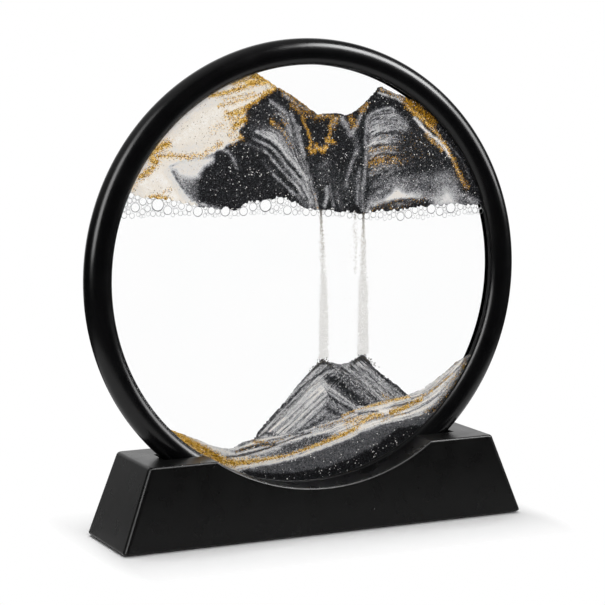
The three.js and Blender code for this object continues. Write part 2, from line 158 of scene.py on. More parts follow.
base_shell = tapered_block("base_shell_moulding", shell_low.z, shell_high.z, 0)
cut_away(base_shell, [
    ring_disc("slot_cutter", ring_radius + SLOT_ROUND_GAP, tube_radius + SLOT_SIDE_GAP),
    ring_disc("scoop_cutter", ring_radius - 2 * tube_radius + SCOOP_MARGIN, SCOOP_CUT_DEPTH),
    tapered_block("plate_cutter", shell_low.z - SHELL_WALL, plate_top, SHELL_WALL),
])
shape = bmesh.new()
shape.from_mesh(base_shell.data)
rounded = shape.edges.layers.float.new("bevel_weight_edge")
for edge in shape.edges:
    outside = min(abs(corner.co.y) for corner in edge.verts) > tube_radius + 2 * SLOT_SIDE_GAP
    if outside and edge.calc_face_angle(0) > math.radians(SHARP_DEGREES):
        edge[rounded] = 1.0
shape.to_mesh(base_shell.data)
shape.free()
round_over = base_shell.modifiers.new("round_over", "BEVEL")
round_over.width = EDGE_ROUND
round_over.segments = EDGE_STEPS
round_over.limit_method = "WEIGHT"
round_over.use_clamp_overlap = False
settle(base_shell)
smooth(base_shell, SHARP_DEGREES)
even_faces = base_shell.modifiers.new("even_faces", "WEIGHTED_NORMAL")
even_faces.keep_sharp = True
settle(base_shell)


def finish(name):
    """A new material with its node tree and principled shader."""
    material = bpy.data.materials.new(name)
    material.use_nodes = True
    tree = material.node_tree
    return material, tree, tree.nodes["Principled BSDF"]


def srgb(*channels):
    """Linear colour for a shader socket from the 0 to 255 values that a screen shows."""
    linear = []
    for channel in channels:
        shown = channel / 255
        linear.append(((shown + 0.055) / 1.055) ** 2.4 if channel > 10 else shown / 12.92)
    return linear + [1.0]


def grain(tree, size, detail=2.0):
    """Noise over the piece's own place, with features of about this size."""
    place = tree.nodes.new("ShaderNodeTexCoord")
    noise = tree.nodes.new("ShaderNodeTexNoise")
    noise.inputs["Scale"].default_value = 1 / size
    noise.inputs["Detail"].default_value = detail
    tree.links.new(place.outputs["Object"], noise.inputs["Vector"])
    return noise.outputs["Fac"]


def spread(tree, value, low, high, start=0.3, end=0.7):
    """Maps the middle of a noise onto a range of values."""
    ranged = tree.nodes.new("ShaderNodeMapRange")
    ranged.inputs["From Min"].default_value = start
    ranged.inputs["From Max"].default_value = end
    ranged.inputs["To Min"].default_value = low
    ranged.inputs["To Max"].default_value = high
    tree.links.new(value, ranged.inputs["Value"])
    return ranged.outputs["Result"]


def ramp(tree, value, stops):
    node = tree.nodes.new("ShaderNodeValToRGB")
    elements = node.color_ramp.elements
    while len(elements) < len(stops):
        elements.new(0.5)
    for element, (position, colour) in zip(elements, stops):
        element.position = position
        element.color = colour
    tree.links.new(value, node.inputs["Fac"])
    return node.outputs["Color"]


def roughen(tree, shader, height, distance, strength):
    bump = tree.nodes.new("ShaderNodeBump")
    bump.inputs["Distance"].default_value = distance
    bump.inputs["Strength"].default_value = strength
    tree.links.new(height, bump.inputs["Height"])
    tree.links.new(bump.outputs["Normal"], shader.inputs["Normal"])


def moulded_plastic(name, dark, light, roughness, texture_size, texture_depth, specular=0.5):
    """Moulded plastic: a near-even colour, a fine spark-eroded texture and cloudy differences of gloss."""
    material, tree, shader = finish(name)
    shader.inputs["Specular IOR Level"].default_value = specular
    specks = grain(tree, texture_size, 3.0)
    colour = ramp(tree, specks, [(0.35, dark), (0.72, light)])
    tree.links.new(colour, shader.inputs["Base Color"])
    gloss_clouds = grain(tree, GLOSS_CLOUD_SIZE)
    tree.links.new(spread(tree, gloss_clouds, *roughness), shader.inputs["Roughness"])
    roughen(tree, shader, specks, texture_depth, strength=0.35)
    return material


satin_black = moulded_plastic(
    "satin_black_plastic", srgb(4, 4, 4), srgb(11, 11, 11), (0.25, 0.33), 0.5 * MM, 0.02 * MM, 0.26)
base_shell.data.materials.clear()
base_shell.data.materials.append(satin_black)
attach(base_shell, "base")
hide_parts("base_shell")

# Bottom plate, its four screws and four feet: a flat plastic cover, steel cross-head screws in sunk
# holes and pressed-in rubber pads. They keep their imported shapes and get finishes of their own.
plate_black = moulded_plastic(
    "plate_plastic", srgb(26, 26, 27), srgb(36, 36, 37), (0.5, 0.62), 0.8 * MM, 0.05 * MM)
foot_rubber = moulded_plastic(
    "foot_rubber", srgb(34, 34, 35), srgb(50, 49, 48), (0.8, 0.95), 0.4 * MM, 0.06 * MM)
screw_steel, steel_tree, steel_shader = finish("screw_steel")
steel_shader.inputs["Metallic"].default_value = 1.0
steel_marks = grain(steel_tree, 0.35 * MM, 4.0)
steel_colour = ramp(steel_tree, steel_marks, [(0.3, srgb(128, 130, 134)), (0.7, srgb(176, 178, 182))])
steel_tree.links.new(steel_colour, steel_shader.inputs["Base Color"])
steel_tree.links.new(spread(steel_tree, steel_marks, 0.28, 0.45), steel_shader.inputs["Roughness"])


def dress(node, material):
    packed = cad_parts[node]
    packed.data.materials.clear()
    packed.data.materials.append(material)


dress("base_plate", plate_black)
for place in ("front_left", "front_right", "rear_left", "rear_right"):
    dress("base_screw_" + place, screw_steel)
    dress("foot_" + place, foot_rubber)

# Ring: two half tubes of gloss black plastic, turned here about the line that looks into the picture.
# Each has a rounded lip over the pane, and they meet in a fine seam round the outside.
glass_low, glass_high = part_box("front_glass")
pane_radius = (glass_high.x - glass_low.x) / 2
RIM_SEAM = 0.05 * MM
RIM_SEAT = 0.1 * MM
LIP_ROUND = 0.35 * MM
RIM_SHARP_DEGREES = 40
TURN_STEPS = 288


def turned(name, profile, steps):
    """A ring turned from a closed profile of radius and depth."""
    points = []
    faces = []
    count = len(profile)
    for step in range(steps):
        angle = 2 * math.pi * step / steps
        for radius, y in profile:
            points.append((radius * math.sin(angle), y, ring_height + radius * math.cos(angle)))
        ahead = (step + 1) % steps * count
        for i in range(count):
            j = (i + 1) % count
            faces.append((step * count + i, step * count + j, ahead + j, ahead + i))
    piece = new_piece(name, points, faces)
    shape = bmesh.new()
    shape.from_mesh(piece.data)
    bmesh.ops.recalc_face_normals(shape, faces=shape.faces)
    shape.to_mesh(piece.data)
    shape.free()
    return piece


def rim_profile(side, steps=40, lip_steps=6):
    """Section of one half tube, from the seam over the outside to the lip and the pane's seat."""
    tube_centre = ring_radius - tube_radius
    seat = -glass_low.y + RIM_SEAT
    lip = tube_radius - LIP_ROUND
    lip_y = seat + LIP_ROUND
    lip_radius = tube_centre - math.sqrt(lip ** 2 - lip_y ** 2)
    first = math.asin(RIM_SEAM / tube_radius)
    last = math.pi - math.asin(lip_y / lip)
    profile = []
    for step in range(steps + 1):
        angle = first + (last - first) * step / steps
        radius = tube_centre + tube_radius * math.cos(angle)
        profile.append((radius, side * tube_radius * math.sin(angle)))
    for step in range(1, lip_steps + 1):
        angle = last + (1.5 * math.pi - last) * step / lip_steps
        radius = lip_radius + LIP_ROUND * math.cos(angle)
        profile.append((radius, side * (lip_y + LIP_ROUND * math.sin(angle))))
    profile.append((pane_radius + RIM_SEAT, side * seat))
    profile.append((pane_radius + RIM_SEAT, side * RIM_SEAM))
    return profile


gloss_black = moulded_plastic(
    "gloss_black_plastic", srgb(3, 3, 4), srgb(6, 6, 7), (0.2, 0.26), 0.9 * MM, 0.004 * MM, 0.4)
for side, node in ((-1, "rim_front"), (1, "rim_rear")):
    rim = turned(node + "_half_tube", rim_profile(side), TURN_STEPS)
    smooth(rim, RIM_SHARP_DEGREES)
    rim.data.materials.append(gloss_black)
    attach(rim, "ring")
    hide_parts(node)

# Cell: two clear panes with a rubber seal between their edges, a filling plug in the seal's gap
# and the clear liquid. The panes and liquid let nearly all light through and carry faint gloss.
seal_rubber = moulded_plastic(
    "seal_rubber", srgb(12, 12, 13), srgb(22, 22, 23), (0.7, 0.85), 0.6 * MM, 0.05 * MM)
dress("cell_seal", seal_rubber)
dress("fill_plug", seal_rubber)


def joined(tree, *links):
    for source, target in links:
        tree.links.new(source, target)


def node_maths(tree, operation, *values, clamp=False):
    """The result of one sum on values that are plain numbers or sockets."""
    node = tree.nodes.new("ShaderNodeMath")
    node.operation = operation
    node.use_clamp = clamp
    for socket, value in zip(node.inputs, values):
        if isinstance(value, float):
            socket.default_value = value
        else:
            tree.links.new(value, socket)
    return node.outputs["Value"]


def shader_mix(tree, share, first, second):
    """Two finishes in one, the second as strong as the share says."""
    mix = tree.nodes.new("ShaderNodeMixShader")
    joined(tree, (share, mix.inputs["Fac"]), (first, mix.inputs[1]), (second, mix.inputs[2]))
    return mix.outputs["Shader"]


def clear_body(name, gloss_share, dull_tint, clear_tint, cloud_size, roughness):
    """See-through body with a faint cloudy tint and a Fresnel gloss on its faces."""
    material, tree, shader = finish(name)
    tree.nodes.remove(shader)
    see_through = tree.nodes.new("ShaderNodeBsdfTransparent")
    tint = ramp(tree, grain(tree, cloud_size), [(0.3, dull_tint), (0.6, clear_tint)])
    tree.links.new(tint, see_through.inputs["Color"])
    gloss = tree.nodes.new("ShaderNodeBsdfGlossy")
    gloss.inputs["Roughness"].default_value = roughness
    edge = tree.nodes.new("ShaderNodeFresnel")
    edge.inputs["IOR"].default_value = 1.45
    share = node_maths(tree, "MULTIPLY", edge.outputs["Fac"], gloss_share)
    surface = shader_mix(tree, share, see_through.outputs["BSDF"], gloss.outputs["BSDF"])
    tree.links.new(surface, tree.nodes["Material Output"].inputs["Surface"])
    return material


clear_glass = clear_body(
    "clear_glass", 0.1, (0.998, 0.999, 0.999, 1), (1, 1, 1, 1), 40 * MM, 0.02)
clear_liquid = clear_body(
    "clear_liquid", 0.02, (0.998, 0.998, 0.999, 1), (1, 1, 1, 1), 25 * MM, 0.1)
dress("front_glass", clear_glass)
dress("rear_glass", clear_glass)
dress("liquid", clear_liquid)

# Air bubbles: a raft of trapped air under the upper sand, flattened between the panes and packed upwards.
# Each shows as a grey ring of painted shade where its film bends to meet the liquid, darker on its
# underside, with cloudy films in the gaps.
# The large ones lie where the photograph shows them, and small ones fill in by seeded chance.
raft_low, raft_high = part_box("bubble_raft")
raft_middle = (raft_low.y + raft_high.y) / 2
liquid_low, liquid_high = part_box("liquid")
sand_radius = (liquid_high.x - liquid_low.x) / 2
RAFT_STEP = 0.25 * MM
RAFT_OVERLAP = 1.4 * MM
LARGE_BUBBLES_MM = [
    (-68.6, 124.8, 1.8), (-65.6, 126.9, 1.5), (-71.3, 123.2, 0.9), (-63.8, 124.1, 1.2),
    (-61.7, 122.2, 1.1), (-59.8, 125.4, 2.5), (-55.9, 123.2, 1.75), (-53.4, 125.6, 1.2),
    (-52.7, 122.7, 1.15), (-50.4, 124.4, 1.25), (-47.4, 123.5, 1.3), (-44.0, 122.2, 2.0),
    (-41.2, 120.6, 0.75), (-38.5, 122.3, 1.5), (-37.0, 120.2, 0.65), (-33.0, 121.8, 2.0),
    (-30.9, 119.5, 0.65), (-29.2, 120.9, 1.1), (-25.6, 121.4, 1.75), (-22.6, 120.5, 0.6),
    (-21.7, 122.9, 1.65), (-19.4, 120.7, 0.7), (-16.6, 123.2, 2.5), (-13.3, 124.8, 0.9),
    (-12.1, 122.1, 1.1), (-10.4, 124.8, 1.45), (-10.2, 122.4, 0.75), (-12.6, 120.1, 0.7),
    (-10.5, 120.5, 0.75), (-7.6, 121.0, 1.8), (-7.7, 123.7, 0.8), (-5.0, 123.2, 1.35), (-3.1, 121.2, 0.8),
    (-1.6, 121.9, 0.7), (0.1, 120.0, 1.5), (3.3, 119.6, 1.3), (7.1, 119.3, 0.8), (9.4, 119.2, 1.5),
    (13.0, 118.6, 0.9), (15.4, 118.6, 1.1), (25.6, 117.2, 1.3), (28.5, 117.6, 1.25), (31.6, 117.2, 1.15),
    (33.4, 115.8, 0.75), (35.3, 118.1, 1.0), (37.2, 117.0, 1.0), (40.2, 116.4, 1.75), (43.6, 117.0, 1.65),
    (46.5, 118.5, 1.4), (49.1, 119.4, 0.95), (47.8, 115.8, 0.9), (50.0, 115.4, 0.85), (51.2, 116.8, 0.8),
    (53.6, 118.7, 1.95), (57.3, 117.5, 1.7), (59.5, 115.9, 1.0), (62.2, 118.7, 2.1), (66.5, 119.0, 1.3),
    (65.6, 116.5, 1.0), (68.4, 116.8, 0.95)]
SMALL_RADII_AND_TRIES = [(1.1, 400), (0.85, 1200), (0.65, 900), (0.5, 260)]
RAFT_SEED = 21
FOAM_SEED = 22
SIZE_RANGE = (0.85, 1.15)
TOUCH_POINTS = 16
RISE_STEP = 0.1 * MM
FILM_SHARE = 0.075
HOOP_SIDES = 18
FILM_SIDES = 4
HOOP_SHARP_DEGREES = 80
FOAM_REACH = 0.3 * MM
FOAM_DEPTH = 0.3 * MM
FOAM_STEP = 0.25 * MM
EDGE_JITTER = 0.25 * MM
EDGE_ROUNDS = 4
RAGGED_PITCH = 0.45 * MM
INNER_JITTER_SHARE = 0.22
SURFACE_RELIEF = 0.05 * MM


def solid_tree(node):
    """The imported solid, ready to be felt with rays."""
    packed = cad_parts[node].data
    points = [point.co for point in packed.vertices]
    return BVHTree.FromPolygons(points, [face.vertices for face in packed.polygons])


def raft_spans():
    """Lowest and highest points of the raft at even steps along it."""
    tree = solid_tree("bubble_raft")
    spans = []
    for step in range(int((raft_high.x - raft_low.x) / RAFT_STEP)):
        x = raft_low.x + (step + 0.5) * RAFT_STEP
        top = tree.ray_cast((x, raft_middle, raft_high.z + 1), (0, 0, -1))[0]
        bottom = tree.ray_cast((x, raft_middle, raft_low.z - 1), (0, 0, 1))[0]
        spans.append((bottom.z, top.z))
    return np.array(spans).T


def packed_bubbles(seed):
    """Rows of x, z and radius. Small bubbles rise between the large ones as far as the sand lets them."""
    chance = np.random.default_rng(seed)
    floor_z, roof_z = raft_spans()
    turns = np.linspace(0, 2 * math.pi, TOUCH_POINTS, endpoint=False)
    placed = np.array(LARGE_BUBBLES_MM) * MM + (0, shell_low.z, 0)
    for radius_mm, tries in SMALL_RADII_AND_TRIES:
        for _ in range(tries):
            radius = radius_mm * MM * chance.uniform(*SIZE_RANGE)
            x = chance.uniform(raft_low.x + radius, raft_high.x - radius)
            step = (x + radius * np.cos(turns) - raft_low.x) / RAFT_STEP
            step = step.astype(int).clip(0, len(roof_z) - 1)
            lowest = (floor_z[step] - radius * np.sin(turns)).max()
            highest = (roof_z[step] - radius * np.sin(turns)).min() + chance.uniform(0, RAFT_OVERLAP)
            heights = np.arange(highest, lowest, -RISE_STEP)
            heights = heights[np.hypot(x, heights - ring_height) + radius < sand_radius]
            gaps = np.hypot(placed[:, 0] - x, placed[:, 1] - heights[:, None]) - placed[:, 2] - radius
            free = np.flatnonzero((gaps > -RISE_STEP).all(1))
            if len(free):
                placed = np.vstack([placed, (x, heights[free[0]], radius)])
    return placed


def clear_of_bubbles(x, z):
    """Distances outside the nearest two bubbles, negative inside one."""
    gaps = np.hypot(bubbles[:, 0] - x[:, None], bubbles[:, 1] - z[:, None]) - bubbles[:, 2]
    return np.sort(gaps, 1)[:, :2].T


def cell_centres(low, high, step):
    """Middles of the squares of a grid over a box, as columns of x and rows of z."""
    columns = math.ceil((high.x - low.x) / step)
    rows = math.ceil((high.z - low.z) / step)
    x = low.x + (np.arange(columns) + 0.5) * step
    z = low.z + (np.arange(rows) + 0.5) * step
    return np.repeat(x[:, None], rows, 1), np.repeat(z[None, :], columns, 0)


def wander(x, z, pitch, seed):
    """Smooth seeded noise from -1 to 1 over the picture."""
    size = 64
    lattice = np.random.default_rng(seed).uniform(-1, 1, (size, size))
    column = np.floor(x / pitch).astype(int)
    row = np.floor(z / pitch).astype(int)
    across = x / pitch - column
    across = across * across * (3 - 2 * across)
    up = z / pitch - row
    up = up * up * (3 - 2 * up)
    left = column % size
    right = (column + 1) % size
    below = row % size
    above = (row + 1) % size
    lower = lattice[left, below] * (1 - across) + lattice[right, below] * across
    upper = lattice[left, above] * (1 - across) + lattice[right, above] * across
    return lower * (1 - up) + upper * up


def sheet_from_cells(low, step, covered, front_y, back_y, growth, ragged, seed):
    """A closed sheet over the covered squares of a grid, with its stepped edge smoothed and roughened."""
    chance = np.random.default_rng(seed)
    cells = np.argwhere(covered)
    corners = np.stack([cells + corner for corner in [(0, 0), (1, 0), (1, 1), (0, 1)]], 1)
    stride = covered.shape[1] + 1
    used, quads = np.unique(corners[..., 0] * stride + corners[..., 1], return_inverse=True)
    quads = quads.reshape(-1, 4)
    flat = np.stack([low.x + used // stride * step, low.z + used % stride * step], 1)
    sides = np.concatenate([quads[:, [k, (k + 1) % 4]] for k in range(4)])
    _, first, count = np.unique(np.sort(sides, 1), axis=0, return_index=True, return_counts=True)
    rim_sides = sides[first[count == 1]]
    on_rim = np.unique(rim_sides)
    inward = np.zeros_like(flat)
    for k in range(4):
        np.add.at(inward, quads[:, k], flat[quads].mean(1) - flat[quads[:, k]])
    for _ in range(EDGE_ROUNDS):
        total = np.zeros_like(flat)
        number = np.zeros(len(flat))
        for here, there in ((0, 1), (1, 0)):
            np.add.at(total, rim_sides[:, here], flat[rim_sides[:, there]])
            np.add.at(number, rim_sides[:, here], 1)
        flat[on_rim] = (flat[on_rim] + total[on_rim] / number[on_rim, None]) / 2
    lengths = np.maximum(np.linalg.norm(inward[on_rim], axis=1), 1e-9)
    outward = -inward[on_rim] / lengths[:, None]
    flat += chance.uniform(-INNER_JITTER_SHARE, INNER_JITTER_SHARE, flat.shape) * step
    rough = ragged * wander(flat[on_rim, 0], flat[on_rim, 1], RAGGED_PITCH, seed)
    flat[on_rim] += outward * (growth + rough)[:, None]
    reach = np.hypot(flat[:, 0], flat[:, 1] - ring_height)
    kept_in = np.minimum(1, sand_radius / reach)
    flat = (flat - (0, ring_height)) * kept_in[:, None] + (0, ring_height)
    relief = chance.uniform(0, SURFACE_RELIEF, len(flat))
    front = np.column_stack([flat[:, 0], front_y + relief, flat[:, 1]])
    back = np.column_stack([flat[:, 0], back_y - relief, flat[:, 1]])
    walls = np.column_stack([rim_sides[:, ::-1], rim_sides + len(flat)])
    points = np.concatenate([front, back])
    faces = np.concatenate([quads, quads[:, ::-1] + len(flat), walls])
    return points, faces


def points_tree(name, material, settings):
    """A node tree that sets one shape on every point, with the nodes that the shape is joined to."""
    tree = bpy.data.node_groups.new(name, "GeometryNodeTree")
    tree.interface.new_socket("Points", in_out="INPUT", socket_type="NodeSocketGeometry")
    inputs = []
    for label, kind, value in settings:
        socket = tree.interface.new_socket(label, in_out="INPUT", socket_type=kind)
        socket.default_value = value
        inputs.append(socket.identifier)
    tree.interface.new_socket("Geometry", in_out="OUTPUT", socket_type="NodeSocketGeometry")
    entry = tree.nodes.new("NodeGroupInput")
    place = tree.nodes.new("GeometryNodeInstanceOnPoints")
    real = tree.nodes.new("GeometryNodeRealizeInstances")
    paint = tree.nodes.new("GeometryNodeSetMaterial")
    paint.inputs["Material"].default_value = material
    leave = tree.nodes.new("NodeGroupOutput")
    joined(
        tree,
        (entry.outputs["Points"], place.inputs["Points"]),
        (place.outputs["Instances"], real.inputs["Geometry"]),
        (real.outputs["Geometry"], paint.inputs["Geometry"]),
        (paint.outputs["Geometry"], leave.inputs["Geometry"]))
    return tree, inputs, entry, place


def bubble_tree(material):
    """Fine rings on points: each takes its size from the point's radius and keeps its height, for the
    painted shade on its underside.
    """
    tree, inputs, entry, place = points_tree("bubble_rings", material, [
        ("Film Share", "NodeSocketFloat", FILM_SHARE)])
    hoop = tree.nodes.new("GeometryNodeCurvePrimitiveCircle")
    hoop.inputs["Resolution"].default_value = HOOP_SIDES
    hoop.inputs["Radius"].default_value = 1.0
    section = tree.nodes.new("GeometryNodeCurvePrimitiveCircle")
    section.inputs["Resolution"].default_value = FILM_SIDES
    tube = tree.nodes.new("GeometryNodeCurveToMesh")
    stand = tree.nodes.new("GeometryNodeTransform")
    stand.inputs["Rotation"].default_value = (math.pi / 2, 0, 0)
    where = tree.nodes.new("GeometryNodeInputPosition")
    axes = tree.nodes.new("ShaderNodeSeparateXYZ")
    mark = tree.nodes.new("GeometryNodeStoreNamedAttribute")
    mark.inputs["Name"].default_value = "height"
    size = tree.nodes.new("GeometryNodeInputNamedAttribute")
    size.inputs["Name"].default_value = "radius"
    joined(
        tree,
        (entry.outputs["Film Share"], section.inputs["Radius"]),
        (hoop.outputs["Curve"], tube.inputs["Curve"]),
        (section.outputs["Curve"], tube.inputs["Profile Curve"]),
        (tube.outputs["Mesh"], stand.inputs["Geometry"]),
        (stand.outputs["Geometry"], mark.inputs["Geometry"]),
        (where.outputs["Position"], axes.inputs["Vector"]),
        (axes.outputs["Z"], mark.inputs["Value"]),
        (mark.outputs["Geometry"], place.inputs["Instance"]),
        (size.outputs["Attribute"], place.inputs["Scale"]))
    return tree, inputs


def grow_nodes(piece, tree, inputs, values):
    """Grows a piece from its points with a node tree, and keeps the result as plain mesh."""
    modifier = piece.modifiers.new("grow", "NODES")
    modifier.node_group = tree
    for identifier, value in zip(inputs, values):
        modifier[identifier] = value
    return settle(piece)


def attribute_value(tree, name):
    node = tree.nodes.new("ShaderNodeAttribute")
    node.attribute_name = name
    return node.outputs["Fac"]


# Bubble rings: a painted shade, grey in place of the light that each bend of film turns aside, and darker on
# the ring's underside.
film, film_tree, film_shader = finish("bubble_rim_painted_shade")
film_shade_by_height = spread(film_tree, attribute_value(film_tree, "height"), 0, 1, start=-1, end=1)
film_clouds = spread(film_tree, grain(film_tree, 0.9 * MM), -0.2, 0.2)
film_painted_shade_colour = ramp(film_tree, node_maths(film_tree, "ADD", film_shade_by_height, film_clouds), [
    (0.0, srgb(92, 92, 94)), (0.4, srgb(156, 156, 158)), (1.0, srgb(198, 198, 199))])
film_tree.links.new(film_painted_shade_colour, film_shader.inputs["Base Color"])
film_shader.inputs["Roughness"].default_value = 0.3
bubbles = packed_bubbles(RAFT_SEED)
raft = new_piece("bubble_raft_rings", [(x, raft_middle, z) for x, z, _ in bubbles], [])
radius_layer = raft.data.attributes.new("radius", "FLOAT", "POINT")
radius_layer.data.foreach_set("value", bubbles[:, 2] * (1 - FILM_SHARE))
hoop_tree, hoop_inputs = bubble_tree(film)
grow_nodes(raft, hoop_tree, hoop_inputs, [FILM_SHARE])
smooth(raft, HOOP_SHARP_DEGREES)

cloudy_film, cloudy_tree, cloudy_shader = finish("cloudy_film")
cloudy_colour = ramp(cloudy_tree, grain(cloudy_tree, 0.7 * MM), [
    (0.3, srgb(247, 247, 248)), (0.7, srgb(255, 255, 255))])
cloudy_tree.links.new(cloudy_colour, cloudy_shader.inputs["Base Color"])
cloudy_shader.inputs["Roughness"].default_value = 0.4
foam_x, foam_z = cell_centres(raft_low, raft_high, FOAM_STEP)
nearest, second = clear_of_bubbles(foam_x.ravel(), foam_z.ravel())
between = (nearest > -FOAM_REACH / 2) & (second < FOAM_REACH)
between = between.reshape(foam_x.shape)
foam_back = raft_middle + FOAM_DEPTH
foam_points, foam_faces = sheet_from_cells(
    raft_low, FOAM_STEP, between, raft_middle, foam_back, 0, EDGE_JITTER, FOAM_SEED)
foam = new_piece("bubble_raft_films", foam_points.tolist(), foam_faces.tolist())
foam.data.materials.append(cloudy_film)
for air in (raft, foam):
    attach(air, "ring")
    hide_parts("bubble_raft")

# Sand: dyed quartz in black, white and gold, pressed into a thin sheet between the panes.
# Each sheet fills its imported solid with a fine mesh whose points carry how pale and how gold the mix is.
SHEET_GROWTH = 0.15 * MM
HEAP_JITTER = 0.35 * MM
SHEET_SEED = 100
PICTURE_SEED = 7


def sand_sheet(node, step, ragged, seed):
    """Points and faces of a sheet that fills the node's solid and gives way to the bubbles."""
    tree = solid_tree(node)
    low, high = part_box(node)
    x, z = cell_centres(low, high, step)
    covered = []
    for cell_x, cell_z in zip(x.flat, z.flat):
        hit = tree.ray_cast((cell_x, low.y - 1, cell_z), (0, 1, 0))[0]
        covered.append(hit is not None)
    covered = np.array(covered) & (clear_of_bubbles(x.ravel(), z.ravel())[0] > 0)
    covered = covered.reshape(x.shape)
    return sheet_from_cells(low, step, covered, low.y, high.y, SHEET_GROWTH, ragged, seed)


class SandPicture:
    """How pale, how gold, how gritty and how finely lined the sand is at points of the picture."""

    SWAY_PITCH = 2.5
    FULL_WAVER_STRAY = 0.12
    WIDTH_PITCH = 1.8
    WIDTH_WAVER = 0.4
    THIN_PITCH = 1.1
    THIN_WAVER = 0.25
    THIN_SEED = 500
    GOLD_SCATTER = 1.1
    LINES_COVERED = 0.6
    POOL_PITCH = 1.5
    POOL_WAVER = 0.4
    GUIDE_STEPS = 90
    FAN_STEPS = 400
    FAN_MARGIN = 1
    FAN_REACH = 1.5
    FAN_LEAST_WEIGHT = 0.2
    LINE_BREAKS = 3
    LINE_SHIFT = 10

    def __init__(self, points, pale, grit, stray, seed):
        chance = np.random.default_rng(seed)
        self.x = points[:, 0] / MM
        self.z = (points[:, 2] - shell_low.z) / MM
        sway = 2 * stray * wander(self.x, self.z, self.SWAY_PITCH, seed)
        self.x = self.x + sway + chance.normal(0, stray, len(points))
        sway = 2 * stray * wander(self.x, self.z, self.SWAY_PITCH, seed + 1)
        self.z = self.z + sway + chance.normal(0, stray, len(points))
        self.pale = np.full(len(points), float(pale))
        self.gold = np.zeros(len(points))
        self.grit = np.full(len(points), float(grit))
        self.stria = np.zeros((len(points), 3))
        self.waver = stray / self.FULL_WAVER_STRAY
        self.seed = seed

    def lay(self, weight, pale, gold):
        """Moves the mix towards another one, as far as the weight says."""
        self.pale += (pale - self.pale) * weight
        self.gold += (gold - self.gold) * weight

    def distance(self, line):
        """How far each point lies from a bent line."""
        nearest = np.full(len(self.x), np.inf)
        for (start_x, start_z), (end_x, end_z) in zip(line, line[1:]):
            run_x = end_x - start_x
            run_z = end_z - start_z
            along = (self.x - start_x) * run_x + (self.z - start_z) * run_z
            along = np.clip(along / (run_x * run_x + run_z * run_z), 0, 1)
            away = np.hypot(self.x - start_x - along * run_x, self.z - start_z - along * run_z)
            nearest = np.minimum(nearest, away)
        return nearest

    def streaks(self, rows):
        """Lines of sand, each with how pale, how gold, how wide and how soft-edged it is."""
        for pale, gold, width, soft, line in rows:
            self.seed += 1
            away = self.distance(line)
            waver = wander(self.x, self.z, self.WIDTH_PITCH, self.seed)
            half = width / 2 * (1 + self.WIDTH_WAVER * self.waver * waver)
            weight = np.clip((half + soft - away) / (2 * soft), 0, 1)
            waver = wander(self.x, self.z, self.THIN_PITCH, self.seed + self.THIN_SEED)
            thin = 1 + self.THIN_WAVER * self.waver * waver
            self.lay(np.clip(weight * thin, 0, 1), pale, 0)
            self.stria[:, 2] *= 1 - self.LINES_COVERED * weight
            if gold > 0:
                scatter = np.exp(-(away / (half + self.GOLD_SCATTER * soft)) ** 2)
                self.gold = np.maximum(self.gold, gold * scatter * thin)

    def pool(self, pale, gold, soft, outline, calm=0):
        """A body of sand inside an outline, with a ragged edge; a calm one has finer grains."""
        self.seed += 1
        closed = outline + outline[:1]
        inside = np.zeros(len(self.x), bool)
        for (start_x, start_z), (end_x, end_z) in zip(closed, closed[1:]):
            crosses = (start_z > self.z) != (end_z > self.z)
            rise = end_z - start_z + 1e-12
            inside ^= crosses & (self.x < (end_x - start_x) * (self.z - start_z) / rise + start_x)
        depth = np.where(inside, 1, -1) * self.distance(closed)
        depth = depth + self.POOL_WAVER * wander(self.x, self.z, self.POOL_PITCH, self.seed)
        weight = np.clip(0.5 + depth / (2 * soft), 0, 1)
        self.lay(weight, pale, gold)
        self.grit *= 1 - calm * weight
        self.stria[:, 2] *= 1 - weight

    def fan(self, first, last, tones, contrast, lines, fade=0.12):
        """Fine lines side by side from one guide line to the other, as sliding sand leaves them."""
        self.seed += 1
        guides = []
        for guide in (first, last):
            guide = np.array(guide, float)
            run = np.concatenate([[0], np.cumsum(np.hypot(*np.diff(guide, axis=0).T))])
            stops = np.linspace(0, run[-1], self.GUIDE_STEPS)
            guides.append(np.column_stack([np.interp(stops, run, guide[:, axis]) for axis in (0, 1)]))
        tree = KDTree(self.GUIDE_STEPS * self.FAN_STEPS)
        for step in range(self.FAN_STEPS):
            share = step / (self.FAN_STEPS - 1)
            for place, (x, z) in enumerate(guides[0] * (1 - share) + guides[1] * share):
                tree.insert((x, z, 0), step * self.GUIDE_STEPS + place)
        tree.balance()
        corners = np.concatenate(guides)
        low = corners.min(0) - self.FAN_MARGIN
        high = corners.max(0) + self.FAN_MARGIN
        near = (self.x > low[0]) & (self.x < high[0]) & (self.z > low[1]) & (self.z < high[1])
        across = np.zeros(len(self.x))
        along = np.zeros(len(self.x))
        away = np.zeros(len(self.x))
        for index in np.flatnonzero(near):
            _, found, away[index] = tree.find((self.x[index], self.z[index], 0))
            across[index], along[index] = divmod(found, self.GUIDE_STEPS)
        across /= self.FAN_STEPS - 1
        along /= self.GUIDE_STEPS - 1
        ends = np.minimum(np.minimum(across, 1 - across) / fade, np.minimum(along, 1 - along) / fade)
        weight = near * np.clip(ends, 0, 1) * np.clip(self.FAN_REACH - away, 0, 1)
        self.lay(weight, np.interp(across, *zip(*tones)), 0)
        inside = weight > self.FAN_LEAST_WEIGHT
        lined = np.column_stack([across * lines, self.LINE_BREAKS * along + self.LINE_SHIFT * self.seed])
        self.stria[inside, :2] = lined[inside]
        self.stria[:, 2] += (contrast - self.stria[:, 2]) * weight


